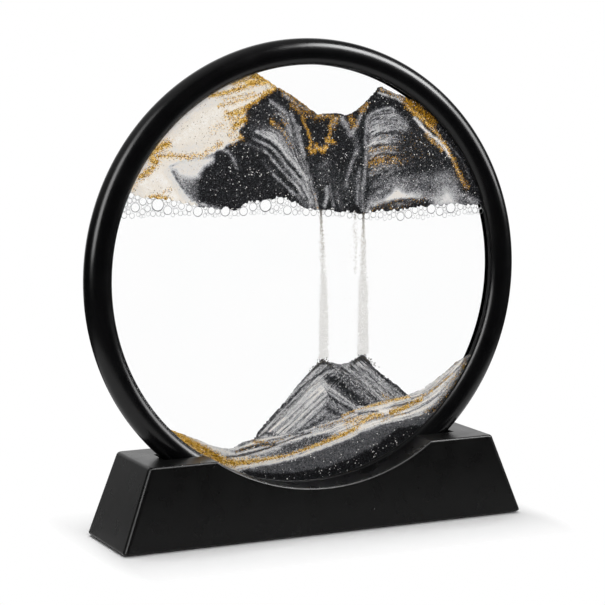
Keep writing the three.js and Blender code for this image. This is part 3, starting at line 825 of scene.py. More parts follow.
def paint_upper(points, seed):
    """Sand held up by the trapped air: cream on the left, black and grey in the middle and right."""
    art = SandPicture(points, pale=0.06, grit=0.45, stray=0.12, seed=seed)
    art.streaks([
        (0.2, 0, 5, 3.0, [(-20, 152), (-15, 154), (-12, 157)]),
        (0.18, 0, 8, 4.0, [(6, 134), (12, 130), (17, 128)]),
        (0.3, 0, 2, 1.0, [(6.6, 137), (8.6, 138.6)]),
    ])
    art.pool(0.32, 0, 0.5, [
        (-14.5, 162.8), (-9.5, 159.8), (-6, 157.2), (-3.2, 152), (-1.6, 147), (-0.3, 141), (1.5, 135.5),
        (3.4, 130), (5, 125), (5.4, 120), (3, 120), (0, 121.5), (-3, 124.5), (-6.5, 127.5), (-5, 131),
        (-9, 136), (-12, 142), (-14.8, 147.6), (-20, 151), (-16, 152), (-13, 154), (-14, 158)])
    art.fan(
        [(-20, 151), (-14, 147.5), (-9, 140.5), (-4, 132), (0, 126), (4, 120)],
        [(-12, 161), (-6, 156), (-2.6, 149), (-0.5, 141), (2.5, 132), (5.2, 121)],
        [(0, 0.54), (0.3, 0.48), (0.6, 0.34), (1, 0.38)],
        contrast=0.28, lines=36, fade=0.06)
    art.pool(0.1, 0, 1.6, [
        (-18, 158), (-13.4, 159.4), (-10, 156), (-8.4, 152.6), (-9.6, 150.6), (-13, 152), (-18, 153)])
    art.streaks([
        (0.5, 0, 1.2, 0.45, [(-14.2, 162.4), (-12, 160.8), (-9.5, 158.9), (-7.8, 156.2), (-6.3, 153),
                             (-5, 150)]),
        (0.54, 0, 1.3, 0.45, [(-5.8, 157), (-4.5, 153.5), (-2.8, 151), (-2.3, 147.5), (-1.5, 144),
                              (-0.6, 140.6)]),
        (0.2, 0, 0.5, 0.4, [(-6.8, 156.6), (-5.6, 152), (-4.4, 148.5), (-3.5, 145), (-2.6, 142)]),
        (0.12, 0, 2.4, 0.8, [(-16, 160.6), (-12.5, 158), (-10.8, 155.4), (-9.4, 153.4)]),
        (0.55, 0.12, 0.7, 0.5, [(-12.6, 157.6), (-10.6, 157.2), (-9, 155.6)]),
        (0.4, 0.7, 0.9, 0.5, [(-14.2, 154.8), (-12.4, 153), (-11, 152.2)]),
        (0.5, 0.4, 0.7, 0.5, [(-11, 152.2), (-9, 150), (-7.6, 147.6), (-6.2, 145)]),
        (0.45, 0.5, 0.6, 0.5, [(-9.4, 154.6), (-8.2, 153.6)]),
        (0.22, 0, 0.5, 0.35, [(-12.6, 152.6), (-9.6, 150), (-7.7, 146.8), (-6, 143.4)]),
        (0.64, 0, 1.0, 0.45, [(-14.4, 150.2), (-11.5, 148.2), (-9.5, 146), (-7.5, 143.2), (-5, 140.2),
                              (-3, 137.4)]),
        (0.26, 0, 0.4, 0.35, [(-13, 148.8), (-10, 146.3), (-8, 143.2), (-5.6, 140.4), (-3, 137)]),
        (0.76, 0, 1.1, 0.4, [(-20.5, 151), (-17, 149.1), (-14.5, 148.3), (-12, 146.9), (-10, 144.7),
                             (-8.3, 142.2), (-6, 139.8), (-4, 137.5), (-2, 135.2), (0, 132.5)]),
        (0.07, 0, 1.0, 0.4, [(-20.5, 149.5), (-18, 148.1), (-15.5, 147), (-13, 145.1), (-10.5, 142.7),
                             (-8.3, 139.8), (-6, 137.2), (-3.8, 134.8), (-2.4, 133.2)]),
        (0.62, 0, 0.9, 0.4, [(-22, 148.5), (-18, 146.8), (-14.5, 145), (-12, 142.6), (-10, 139.9),
                             (-8, 137.6), (-5.5, 135), (-3, 132), (-1, 129)]),
        (0.1, 0, 0.6, 0.35, [(-24, 147.4), (-20, 146.2), (-16, 144.3), (-13.5, 142), (-11.5, 139.4),
                             (-9, 136.9), (-6.5, 134.4)]),
        (0.36, 0, 0.9, 0.6, [(-25, 146.4), (-21, 145.3), (-17.5, 143.9)]),
        (0.68, 0, 0.9, 0.4, [(-17, 143.6), (-15, 141.8), (-12.8, 139.2), (-10, 136), (-7.3, 133.2),
                             (-5, 131), (-3, 128.8), (-1, 126)]),
        (0.06, 0, 1.1, 0.4, [(-16, 141.6), (-14, 138.7), (-11.5, 136), (-8.5, 132.9), (-6, 130.4),
                             (-4, 128.2)]),
        (0.3, 0, 0.9, 0.6, [(-17.4, 139.6), (-15.4, 137.4), (-13, 134.6)]),
        (0.58, 0, 0.9, 0.45, [(-13.4, 135), (-10, 131.4), (-7.5, 129), (-5, 127), (-3, 125.4)]),
        (0.08, 0, 1.4, 0.6, [(-12, 130.5), (-8, 127), (-4.5, 125.2)]),
        (0.25, 0, 1.0, 0.6, [(-4, 126.4), (-1.6, 124), (0.2, 122)]),
        (0.22, 0, 0.5, 0.4, [(-2.4, 130), (-0.8, 127.4), (0.2, 124)]),
        (0.68, 0, 0.6, 0.4, [(0.4, 129), (1.2, 125), (1.8, 122)]),
        (0.28, 0, 0.5, 0.4, [(2.4, 128.4), (3, 125), (3.6, 121.6)]),
        (0.66, 0.1, 0.6, 0.4, [(3.4, 127), (4.2, 124), (5, 120.6)]),
        (0.09, 0, 1.5, 0.6, [(2.6, 135), (4.4, 131), (6, 126.6), (6.2, 123)]),
    ])
    art.pool(0.3, 0, 1.4, [
        (26, 156), (31, 158), (37, 158.6), (42, 152), (44, 147), (42, 140), (36, 133), (28, 129),
        (26, 140)])
    art.fan(
        [(26, 155), (30, 157.6), (37, 158.4), (44, 153)],
        [(25, 130), (30, 132), (38, 135.5), (52, 136)],
        [(0, 0.34), (0.25, 0.52), (0.5, 0.42), (1, 0.3)],
        contrast=0.26, lines=46, fade=0.1)
    art.streaks([
        (0.68, 0, 0.8, 0.4, [(26.4, 154.6), (27.5, 156.3), (30, 157.3), (33, 158), (36, 158.6),
                             (37.2, 157.4)]),
        (0.5, 0, 2.2, 0.9, [(26.4, 151.4), (30, 152.6), (36, 153), (40, 151.6)]),
        (0.7, 0, 0.8, 0.4, [(26.5, 149.6), (29, 150.4), (33, 150.7), (38, 150.3), (42.5, 150.6)]),
        (0.1, 0, 0.5, 0.4, [(28, 147.8), (31, 148.6), (36, 148.5), (40, 147.8), (43, 149)]),
        (0.52, 0.08, 1.2, 0.5, [(27.2, 146.4), (30, 147.2), (33, 147.3), (36, 146.8)]),
        (0.8, 0, 0.8, 0.35, [(25.6, 143.6), (27.6, 145.1), (31, 145.4), (36, 145.2), (40, 145.5),
                             (44.5, 146)]),
        (0.1, 0, 0.5, 0.35, [(27.4, 143.1), (30, 144.1), (36, 144), (42, 144.8)]),
        (0.42, 0.32, 1.2, 0.6, [(27.5, 142), (31, 142.8), (36, 142.6), (40, 142.6)]),
        (0.66, 0, 0.6, 0.35, [(26.6, 140.6), (31, 141.4), (37, 141.2)]),
        (0.1, 0, 0.7, 0.4, [(29, 140.2), (33, 140.6), (38, 140.3), (42, 140.6)]),
        (0.3, 0.6, 1.6, 0.9, [(27.6, 137.4), (31, 138.6), (34, 138.2)]),
        (0.2, 0.4, 1.4, 0.9, [(34, 138.4), (38, 138.2), (42, 138.6)]),
        (0.12, 0.12, 2.0, 1.4, [(40, 142.6), (44, 146.6), (48, 149.6)]),
        (0.48, 0.1, 1.0, 0.6, [(26.6, 132.6), (29, 134.8), (32, 136), (36, 136.3)]),
        (0.1, 0, 0.7, 0.5, [(28.6, 131.4), (32, 133), (35, 134.6)]),
        (0.4, 0, 0.8, 0.6, [(32, 131), (35, 133.3), (39, 135), (43, 135.3), (50, 136)]),
        (0.36, 0, 1.4, 1.0, [(27.5, 128.5), (31, 129.6), (34, 131.6)]),
    ])
    art.pool(0.1, 0, 1.8, [
        (43, 160), (47, 152), (57, 143.5), (64, 134), (62, 131.6), (52, 131), (44, 134), (46, 141)])
    art.pool(0.1, 0.05, 3.0, [(38, 149), (48, 150.6), (56, 143), (52, 137), (40, 137)])
    art.streaks([
        (0.4, 0, 4.4, 2.6, [(36, 130), (46, 129.4), (56, 130.6), (62, 131)]),
        (0.4, 0, 3.4, 2.2, [(46, 126), (52, 125), (58, 126)]),
        (0.48, 0, 3.0, 2.2, [(56.6, 128.6), (60, 130), (64, 127)]),
        (0.5, 0, 3.0, 2.0, [(27, 122.6), (30, 125.6), (36, 128.4), (42, 127.8)]),
        (0.72, 0, 1.6, 1.4, [(44, 125.4), (49, 124.3), (55, 122.6)]),
    ])
    art.pool(0.92, 0, 1.2, [
        (26, 118.6), (29.2, 122.8), (33, 124), (36.2, 126.4), (38.9, 127.6), (42.7, 125.6), (45.9, 124.3),
        (50.3, 123), (47, 122.4), (43.2, 122), (40.5, 121.2), (35.6, 121), (32.4, 122),
        (29.2, 120.9)], calm=0.5)
    art.streaks([
        (0.16, 0.14, 1.7, 0.5, [(28, 119.6), (33, 120.8), (38, 122.2), (44, 122.4), (50, 122.4)]),
        (0.5, 0.1, 0.6, 0.4, [(30, 121.4), (36, 122.8)]),
        (0.14, 0.12, 1.2, 0.5, [(29, 119), (37, 119.6), (44, 120.6)]),
    ])
    art.pool(0.86, 0, 2.4, [
        (53.4, 119), (56.4, 123.6), (59.6, 126.4), (63, 125.4), (65, 121.6), (68, 119)], calm=0.4)
    art.streaks([
        (0.64, 0, 2.0, 1.3, [(63.6, 124.6), (68, 123), (73, 120)]),
        (0.34, 0, 0.6, 0.5, [(63.6, 126), (65.4, 123), (69.6, 121.2)]),
        (0.5, 0, 1.8, 0.8, [(24.2, 157.6), (22.5, 154.4), (21, 151.4), (19.6, 148.8)]),
        (0.52, 0, 1.8, 0.9, [(15.2, 154.6), (17.4, 151.4), (19, 148.6)]),
        (0.3, 0, 1.4, 1.0, [(20.6, 147), (22, 143.6), (21, 141)]),
        (0.08, 0, 0.9, 0.5, [(25.2, 158.4), (23.6, 154), (22.6, 150), (22, 146.6)]),
        (0.5, 0, 1.3, 0.6, [(26.2, 155), (25.4, 150.4), (24.8, 146.6), (25.4, 142.6), (25, 138.6),
                            (24.6, 134), (24, 129)]),
        (0.45, 0, 1.4, 0.7, [(24, 130), (23.4, 125), (23.8, 120)]),
        (0.46, 0, 1.4, 0.7, [(21, 142.4), (19.8, 139.4), (18.6, 136.4), (17.4, 133), (16.8, 129.6)]),
        (0.1, 0, 0.9, 0.5, [(21.4, 138.6), (20, 134.4), (18.8, 130.6), (18.4, 127)]),
        (0.42, 0, 1.4, 0.7, [(22.6, 135.4), (21.6, 131.6), (21.6, 127), (21.4, 122.4)]),
        (0.7, 0, 1.0, 0.6, [(25.2, 119), (26.4, 121.4), (27.6, 122.4)]),
        (0.62, 0, 1.3, 0.6, [(8.3, 129), (8.8, 126.6), (8.2, 124.4), (7.4, 122)]),
        (0.5, 0, 0.8, 0.6, [(9.8, 129.4), (10.4, 125.6), (11.4, 121.4)]),
        (0.3, 0, 1.2, 0.8, [(12.4, 127), (13.6, 123), (15, 120.6)]),
    ])
    art.pool(0.05, 0, 0.7, [
        (-0.6, 155.4), (1.8, 150), (3, 146), (5, 146.4), (7.4, 147), (9, 151), (9.6, 155.6)])
    art.streaks([
        (0.46, 0, 3.2, 2.2, [(-51.4, 134.6), (-48.6, 130.8), (-46, 127.6)]),
        (0.58, 0, 3.0, 2.4, [(-51, 135.6), (-46.4, 133)]),
        (0.66, 0, 1.0, 0.7, [(-35.4, 145.4), (-31.6, 143.6), (-29.6, 140.8), (-28.4, 138)]),
        (0.7, 0, 1.1, 0.6, [(-46, 125.6), (-40, 124.2), (-35.5, 122.2)]),
    ])
    art.pool(0.91, 0, 1.1, [
        (-57, 139.4), (-49.3, 142.4), (-37.6, 142.6), (-37.4, 140.4), (-41, 138.8), (-43.6, 135),
        (-47.4, 134.6), (-51, 135.4), (-53.6, 137.4)], calm=0.3)
    art.pool(0.95, 0, 0.4, [
        (-11.2, 167.4), (-15.4, 165.6), (-20.4, 161.6), (-24, 160), (-25.2, 157), (-25, 154),
        (-26.6, 152.6), (-27.2, 150.6), (-25.8, 148.6), (-28.5, 147.8), (-33, 145.6), (-38, 143.4),
        (-43, 141.9), (-50, 141.1), (-55.4, 139.6), (-52.5, 134.6), (-50, 131.2), (-46, 126.4),
        (-43, 124), (-80, 122), (-80, 175), (-15, 180)], calm=0.3)
    art.streaks([
        (0.75, 0, 0.35, 0.4, [(-51, 140.9), (-45, 141.5), (-39, 142.9)]),
        # Painted shade: the cream turns greyer along the ring's inner edge on the left.
        (0.86, 0, 3.4, 4.0, [(-70, 131), (-63, 143), (-54, 153.6), (-44, 162.6), (-34, 168.6)]),
        (0.985, 0, 5.0, 4.0, [(-54, 148), (-44, 154.6), (-36, 158.4), (-30, 160)]),
        (0.99, 0, 5.0, 3.0, [(-66, 133), (-60, 136), (-56, 133), (-53, 128)]),
        (0.87, 0, 1.6, 1.4, [(-55.6, 137.4), (-53.4, 133.6), (-50.8, 129.6), (-48, 126.4)]),
        (0.12, 0, 0.6, 0.35, [(-54.1, 137.4), (-52.3, 134.5), (-50.2, 131.2)]),
        (0.4, 0, 0.5, 0.4, [(-50.2, 131.2), (-48.2, 128.6), (-46.4, 126.4)]),
        (0.9, 0, 1.2, 1.6, [(-56, 147), (-51, 145), (-44, 146.4)]),
        (0.9, 0, 0.8, 1.2, [(-46, 160), (-38, 161.6), (-30, 163.6)]),
        (0.9, 1.1, 0.6, 0.6, [(-40, 165), (-34, 165.4), (-28, 166.9), (-22, 168.3)]),
        (0.9, 0.9, 0.9, 0.8, [(-30, 169.4), (-24, 170.4), (-19, 171.4)]),
        (0.7, 1.3, 1.8, 0.6, [(-23.4, 168.8), (-20, 169.4), (-16, 169.6), (-14, 168.8)]),
        (0.7, 1.2, 1.4, 0.7, [(-21, 171.6), (-16.6, 170.4), (-13, 168)]),
        (0.92, 0.75, 0.5, 0.45, [(-35, 160.9), (-29, 162.2), (-23, 163.6), (-16, 165.8)]),
        (0.92, 0.55, 0.4, 0.45, [(-33, 163.2), (-27, 164.2), (-21, 165.4)]),
        (0.5, 1.2, 0.9, 0.45, [(-24.2, 160.2), (-20.6, 162), (-16, 165.4), (-12.6, 167)]),
        (0.85, 1.1, 1.3, 0.7, [(-32, 157.4), (-28.6, 158.2), (-25.2, 158.8)]),
        (0.9, 0.8, 1.0, 0.7, [(-32.4, 156.6), (-29.6, 156), (-26.4, 156.6)]),
        (0.7, 1.2, 1.7, 0.7, [(-29.6, 152.8), (-27.4, 154.2), (-25.2, 155.8)]),
        (0.8, 1.1, 1.2, 0.6, [(-29, 149.4), (-26.4, 148.9)]),
        (0.94, 0.4, 1.2, 0.9, [(-31, 151), (-28.6, 150), (-30, 147.4)]),
        (0.75, 1.2, 2.0, 0.7, [(-61.6, 145), (-59, 146), (-56.4, 147.6)]),
        (0.75, 1.1, 1.5, 0.7, [(-62.6, 143), (-60.6, 141.2)]),
        (0.75, 1.1, 1.5, 0.7, [(-66.4, 136), (-64.4, 137), (-62.2, 139)]),
        (0.93, 0.5, 0.6, 0.5, [(-69.5, 131.4), (-68.3, 133.5)]),
        (0.9, 0.8, 0.7, 0.7, [(-60, 143.2), (-54, 143.4), (-48, 142.4), (-43, 143)]),
        (0.9, 0.7, 0.6, 0.7, [(-43, 143), (-38.6, 145), (-35, 147)]),
        (0.85, 1.1, 1.0, 0.6, [(-63, 128), (-59, 127.9), (-55.6, 126.6)]),
        (0.96, 0.35, 0.8, 0.7, [(-58, 130), (-55.5, 130.6)]),
        (0.93, 0.22, 1.4, 1.4, [(-38, 152), (-33, 154.6)]),
        (0.66, 0.2, 1.0, 0.5, [(-9.4, 165), (-5, 161.8), (0, 158.6), (4, 156.4)]),
        (0.45, 0.95, 0.6, 0.35, [(-11.4, 167.6), (-6, 164.2), (0, 160.4), (5, 157.2)]),
        (0.12, 0.4, 1.4, 0.8, [(-5.4, 160.6), (-2, 159), (2, 157), (5.4, 155.8)]),
        (0.3, 0.7, 0.8, 0.6, [(-4.4, 159.8), (-2, 157.4), (-1, 155.6)]),
        (0.25, 0.7, 1.0, 0.6, [(5, 156), (9, 156), (12, 155)]),
        (0.5, 1.0, 0.5, 0.3, [(-1.6, 155.4), (-0.2, 152.4), (1, 150.4), (1.8, 147.6), (2.2, 145)]),
        (0.6, 1.1, 1.3, 0.35, [(1.8, 144.4), (2.4, 142.6), (3.4, 143)]),
        (0.62, 1.1, 1.2, 0.35, [(4, 144.6), (5.6, 143.6), (7, 143), (8.2, 144.2)]),
        (0.6, 1.1, 1.2, 0.35, [(8.4, 146.4), (10, 146.6), (11.4, 146)]),
        (0.5, 0.9, 0.7, 0.4, [(9.4, 147.4), (10.4, 150), (10.2, 153), (11.4, 154.6)]),
        (0.55, 0.6, 1.2, 0.7, [(11.4, 152.4), (13, 154.6)]),
        (0.25, 0.65, 1.4, 0.7, [(18.8, 155), (20, 152.6)]),
        (0.4, 0.7, 0.8, 0.6, [(23, 157.6), (25.4, 159.6)]),
        (0.5, 0.35, 1.3, 0.4, [(31.8, 165.5), (34.6, 164.8), (38, 163.2), (41, 161.8)]),
        (0.8, 0.08, 0.6, 0.35, [(30.8, 164.3), (35, 162.9), (39, 161.5), (42.4, 159.8)]),
    ])
    art.pool(0.08, 0.02, 0.5, [(54, 152), (60, 145), (66, 135), (71, 126), (80, 121), (80, 150)])
    art.streaks([
        # Painted highlight: a thin grey line on the sand where the ring's lip shows its shine.
        (0.34, 0, 0.4, 0.4, [(60.5, 144), (66, 138), (70.5, 130)]),
        # Real gold grains set in a nearly black mix, with painted shade that turns them brown next to the
        # ring.
        (0.05, 0.85, 1.9, 0.6, [(42.6, 160.8), (46, 159), (50.4, 155.8), (54.6, 152.2)]),
        (0.62, 1.1, 1.0, 0.4, [(42.6, 158.8), (46.6, 156), (50, 153.4), (53.6, 150)]),
        (0.97, 0, 1.3, 0.4, [(46.2, 154), (50, 150.1), (54, 146.6), (57, 144.6), (59.8, 141.2),
                             (61.4, 138.8)]),
        (0.7, 0.9, 0.6, 0.4, [(53.6, 150), (56.6, 147), (60, 142.4), (62.6, 137.6), (65.4, 132)]),
        (0.45, 0.7, 0.7, 0.7, [(65.4, 132), (67, 129.4), (69.2, 126.6)]),
        (0.6, 0.8, 0.5, 0.4, [(51, 148), (54, 144.8), (58, 141.4)]),
    ])
    return art


def paint_bank(points, seed):
    """Sand that has already fallen: layers that lie along the ring's inside."""
    art = SandPicture(points, pale=0.75, grit=0.52, stray=0.06, seed=seed)
    art.fan(
        [(-36, 32), (-30, 32.5), (-21, 35), (-10, 36), (0, 37), (10, 40), (18, 42.5), (28, 44.5), (42, 46)],
        [(-34, 26), (-27, 24), (-15, 25), (0, 27.6), (10, 29.8), (20, 32.4), (30, 35), (40, 36.4), (50, 38)],
        [(0, 0.6), (0.3, 0.74), (0.6, 0.7), (1, 0.85)],
        contrast=0.3, lines=18)
    art.fan(
        [(36, 45.2), (48, 47), (54, 50), (60, 54), (66, 58.5), (71, 63)],
        [(34, 36.2), (44, 37.2), (52, 40), (58, 44), (63, 49.5), (67, 55), (71, 61)],
        [(0, 0.62), (0.3, 0.76), (0.5, 0.68), (0.8, 0.74), (1, 0.8)],
        contrast=0.32, lines=20)
    art.streaks([
        (0.92, 0, 1.0, 0.5, [(-52, 39.6), (-44, 35.4), (-38, 32.2), (-33, 30.4)]),
        (0.35, 0, 1.0, 0.5, [(-28.6, 32.6), (-25, 33.8), (-22.4, 34)]),
        (0.86, 0, 0.7, 0.4, [(-30, 31.2), (-26, 32.2), (-22, 33), (-17, 34), (-10, 34.6), (-4, 35.2),
                             (2, 36.6)]),
        (0.22, 0.35, 0.9, 0.5, [(-28, 30.8), (-24, 31.5), (-19, 32.1), (-14, 32.5), (-10, 33.2)]),
        (0.4, 0.5, 0.8, 0.6, [(-23, 34), (-20.6, 33.2), (-17, 32.6)]),
        (0.9, 0, 0.7, 0.4, [(-33, 29.9), (-27, 30.1), (-20, 30.9), (-14, 32), (-9, 33.4), (-2, 34.8),
                            (6, 36.2)]),
        (0.3, 0, 0.5, 0.4, [(-34, 29), (-30, 28.8), (-25, 29.6)]),
        (0.9, 0, 1.2, 0.5, [(-32, 28), (-25, 28), (-19, 29.2), (-14, 31), (-10, 32.4), (-2, 33.9),
                            (6, 34.6), (14, 35.6), (20, 36.8)]),
        (0.12, 0.1, 0.5, 0.35, [(-34, 28.6), (-27, 28.9), (-20, 30), (-12, 32), (-6, 33.6), (1, 35.2)]),
        (0.1, 0.2, 0.9, 0.5, [(-30, 30.6), (-24.6, 31.4), (-19, 32.1), (-14, 31.9)]),
        (0.2, 0.1, 0.5, 0.4, [(-17, 33.6), (-12, 34), (-7, 34.9), (-2, 35.3)]),
    ])
    art.pool(0.3, 0, 0.6, [
        (-21, 27.8), (-14, 29.2), (-9, 31.4), (-2, 33.1), (5, 33.9), (13, 33.6), (9, 31.8), (2, 29.8),
        (-6, 28), (-14, 27)])
    art.streaks([
        (0.5, 0, 1.6, 1.0, [(-24, 28), (-18, 28.2), (-14, 29.4)]),
        (0.85, 0.1, 0.5, 0.4, [(2, 36.8), (8, 38.2), (14, 39.2), (19, 40.6)]),
        (0.5, 0.3, 0.8, 0.5, [(4, 36.8), (10, 37.7), (16, 38.8), (20, 39.4)]),
        (0.25, 0, 0.5, 0.4, [(3, 37.8), (8, 38.9), (13, 39.8), (18, 41.2)]),
        (0.9, 0.05, 1.2, 0.5, [(12, 36.6), (18, 37.2), (21.6, 38)]),
        (0.86, 0.7, 0.9, 0.7, [(16, 37.6), (20, 38.2), (23.6, 38.6)]),
        (0.55, 1.4, 2.4, 0.5, [(-58, 41.8), (-52, 37.8), (-46, 33.8), (-40, 30), (-35, 27)]),
        (0.25, 1.3, 1.0, 0.8, [(-48, 35.2), (-44, 33.2), (-38, 29.6)]),
        (0.6, 1.2, 2.0, 0.5, [(-35, 27.2), (-31, 26), (-26, 25.8), (-22, 26.1)]),
        (0.88, 1.1, 0.8, 0.4, [(-24, 26.1), (-18, 26.2), (-12, 26.6), (-6, 27.5), (0, 29), (5, 30.2)]),
        (0.88, 1.1, 1.2, 0.5, [(5, 30.2), (10, 31.6), (15, 33), (19, 34.4), (21.6, 35.6)]),
        (0.88, 0.95, 1.3, 0.7, [(21, 35.4), (23, 37), (25, 38.6), (28, 39.5), (31, 39.7)]),
        (0.97, 0, 0.8, 0.35, [(-30, 24.4), (-22, 24.9), (-14, 25.6), (-6, 26.7), (2, 28.4), (10, 30.4),
                              (18, 32.9), (24, 35.1), (30, 36.4)]),
        (0.94, 0, 1.2, 0.5, [(22, 35.6), (28, 37), (34, 37)]),
        (0.86, 0.9, 0.6, 0.6, [(15, 40.6), (18, 42), (24, 43), (30, 43.8), (36, 44.8), (43, 45.4)]),
        (0.9, 0, 0.7, 0.4, [(20, 41.7), (28, 42.6), (36, 43.7), (44, 44.6)]),
        (0.16, 0, 0.7, 0.35, [(21.6, 40.6), (26, 41.2), (30, 40.8)]),
        (0.93, 0, 1.5, 0.5, [(30.6, 41), (34, 40.6), (38, 41)]),
        (0.32, 0, 0.5, 0.35, [(35.6, 42.5), (40, 42.4), (45, 43.8)]),
        (0.8, 1.1, 1.2, 0.6, [(35.6, 39.9), (40, 40.8), (43, 42), (46, 43), (48.6, 44.2)]),
        (0.3, 1.0, 0.8, 0.4, [(44, 42.6), (47.4, 43.7)]),
        (0.6, 0.6, 0.4, 0.4, [(48, 44.6), (54, 47.4), (58, 50), (63, 53.4)]),
        (0.6, 0.4, 0.7, 0.5, [(32, 37.6), (37, 38.4), (42, 39.4)]),
        (0.92, 0, 0.8, 0.4, [(40, 39.8), (46, 41.4), (52, 44.2), (58, 48.2)]),
        (0.36, 0, 0.5, 0.35, [(42, 39), (48, 41), (53, 43.2), (58, 46.2)]),
        (0.96, 0, 1.1, 0.4, [(35, 37.2), (44, 38.6), (50, 40.6), (56, 43.8)]),
        (0.36, 0.3, 0.5, 0.4, [(53, 49.6), (60, 54), (65, 57.6)]),
        (0.88, 0, 0.8, 0.4, [(48, 46.9), (56, 51.2), (66, 57.4)]),
        (0.86, 0, 0.8, 0.4, [(54, 46), (60, 50.4), (66, 55)]),
        (0.5, 0.3, 0.4, 0.4, [(58, 47), (63, 51), (67, 55)]),
        # The last row darkens the sand towards the ring's inner wall at the right.
        (0.06, 0.15, 2.2, 1.4, [(51, 37.2), (57, 41.6), (62, 46.4), (66.2, 52), (70, 59)]),
    ])
    return art


def paint_dark_bank(points, seed):
    """The lowest layers: a dark grey mix over a crescent of black glitter."""
    art = SandPicture(points, pale=0.27, grit=0.2, stray=0.1, seed=seed)
    art.streaks([
        (0.36, 0, 1.0, 1.0, [(-24, 23.4), (-12, 24.8), (0, 27), (15, 30.8), (30, 34.6), (45, 36.6),
                             (53, 38.4)]),
        (0.96, 0, 1.3, 0.4, [(-30, 24), (-22, 24.4), (-14, 25), (-6, 26.1), (2, 27.8), (10, 29.8),
                             (18, 32.2), (24, 34.4), (30, 35.7)]),
    ])
    art.pool(0.0, 0, 0.5, [
        (-27, 22.4), (-16, 20.9), (-8, 20.1), (0, 20.2), (8, 21), (16, 22.9), (24, 25.3), (30, 28),
        (35, 31.3), (38, 33.2), (43, 33.7), (56, 34), (40, 12), (0, 6), (-32, 10)])
    return art


def paint_rear_peaks(points, seed):
    """The two older heaps behind: grey layers that slope away from each tip."""
    art = SandPicture(points, pale=0.3, grit=0.6, stray=0.04, seed=seed)
    art.fan(
        [(9, 64), (-3, 54.5), (-14, 44.5), (-26, 34)],
        [(16, 55), (6, 46), (-4, 39), (-12, 33)],
        [(0, 0.2), (0.1, 0.5), (0.35, 0.58), (0.7, 0.42), (1, 0.38)],
        contrast=0.28, lines=34, fade=0.03)
    art.fan(
        [(22, 65), (30, 58), (45, 45)],
        [(8, 62), (15, 54.5), (27, 42)],
        [(0, 0.24), (0.2, 0.52), (0.45, 0.5), (0.7, 0.34), (0.9, 0.34), (1, 0.4)],
        contrast=0.28, lines=50, fade=0.03)
    art.streaks([
        (0.2, 0, 1.0, 0.4, [(4.6, 60.4), (-1, 55.4), (-6, 50.4), (-12, 45.1), (-18, 39.4), (-22, 35)]),
        (0.68, 0, 1.1, 0.5, [(6, 60), (3, 58.2), (-1, 55), (-5, 51.6), (-9, 48.2)]),
        (0.16, 0, 0.8, 0.4, [(4, 57), (0, 54.4), (-4, 51.2), (-9, 47), (-14, 42.6), (-18, 38.8),
                             (-22, 35.4)]),
        (0.14, 0, 1.5, 0.6, [(5.8, 61.2), (7.6, 62), (9.4, 61), (11.4, 60.2)]),
        (0.5, 0, 1.0, 0.7, [(4.4, 58.8), (6.4, 59.6), (8.6, 59)]),
        (0.1, 0, 0.7, 0.4, [(5.4, 57), (8, 58.7), (10.6, 59.4)]),
        (0.56, 0, 0.6, 0.35, [(5.6, 56.4), (8.6, 57.8), (12, 58.4), (15, 56.6)]),
        (0.2, 0, 0.5, 0.35, [(7, 56), (10, 57.2), (13, 57.2), (16, 55)]),
        (0.5, 0, 0.9, 0.6, [(11.6, 60), (15, 59.6), (18.6, 60.2)]),
        (0.09, 0, 2.6, 0.7, [(9, 55.6), (12.4, 54.4), (16, 51), (20, 47.4), (23.6, 44)]),
        (0.3, 0, 1.4, 0.7, [(14, 56.6), (18, 53), (23, 48.4), (27, 45)]),
        (0.2, 0, 0.4, 0.4, [(17, 56), (22, 51.4), (27, 47), (29.6, 45)]),
        (0.58, 0, 0.8, 0.4, [(16.6, 59), (21, 55.6), (26, 51.2), (30, 47.4), (33, 45)]),
        (0.28, 0, 0.4, 0.35, [(18.4, 59.4), (23, 55.6), (28, 51), (32, 47.2)]),
        (0.55, 0, 0.5, 0.35, [(20, 59.6), (25, 55.4), (30, 50.8), (35.4, 46)]),
        (0.28, 0, 0.5, 0.35, [(22, 59), (27, 54.8), (32, 50.2), (37, 45.8)]),
        (0.58, 0, 0.6, 0.35, [(24.6, 58.8), (29, 55), (34, 50.4), (39, 46)]),
        (0.2, 0, 1.4, 0.6, [(19.6, 61.4), (22.4, 62.2), (25, 61)]),
        (0.16, 0, 1.4, 0.5, [(26, 60), (31, 55.8), (36, 51.4), (41, 47.4), (43, 45.4)]),
        (0.45, 0, 0.5, 0.35, [(26, 58.6), (31, 54.4), (36, 50), (40.6, 46)]),
        (0.4, 0.4, 0.7, 0.5, [(32.4, 47.2), (34.6, 45.6)]),
    ])
    return art


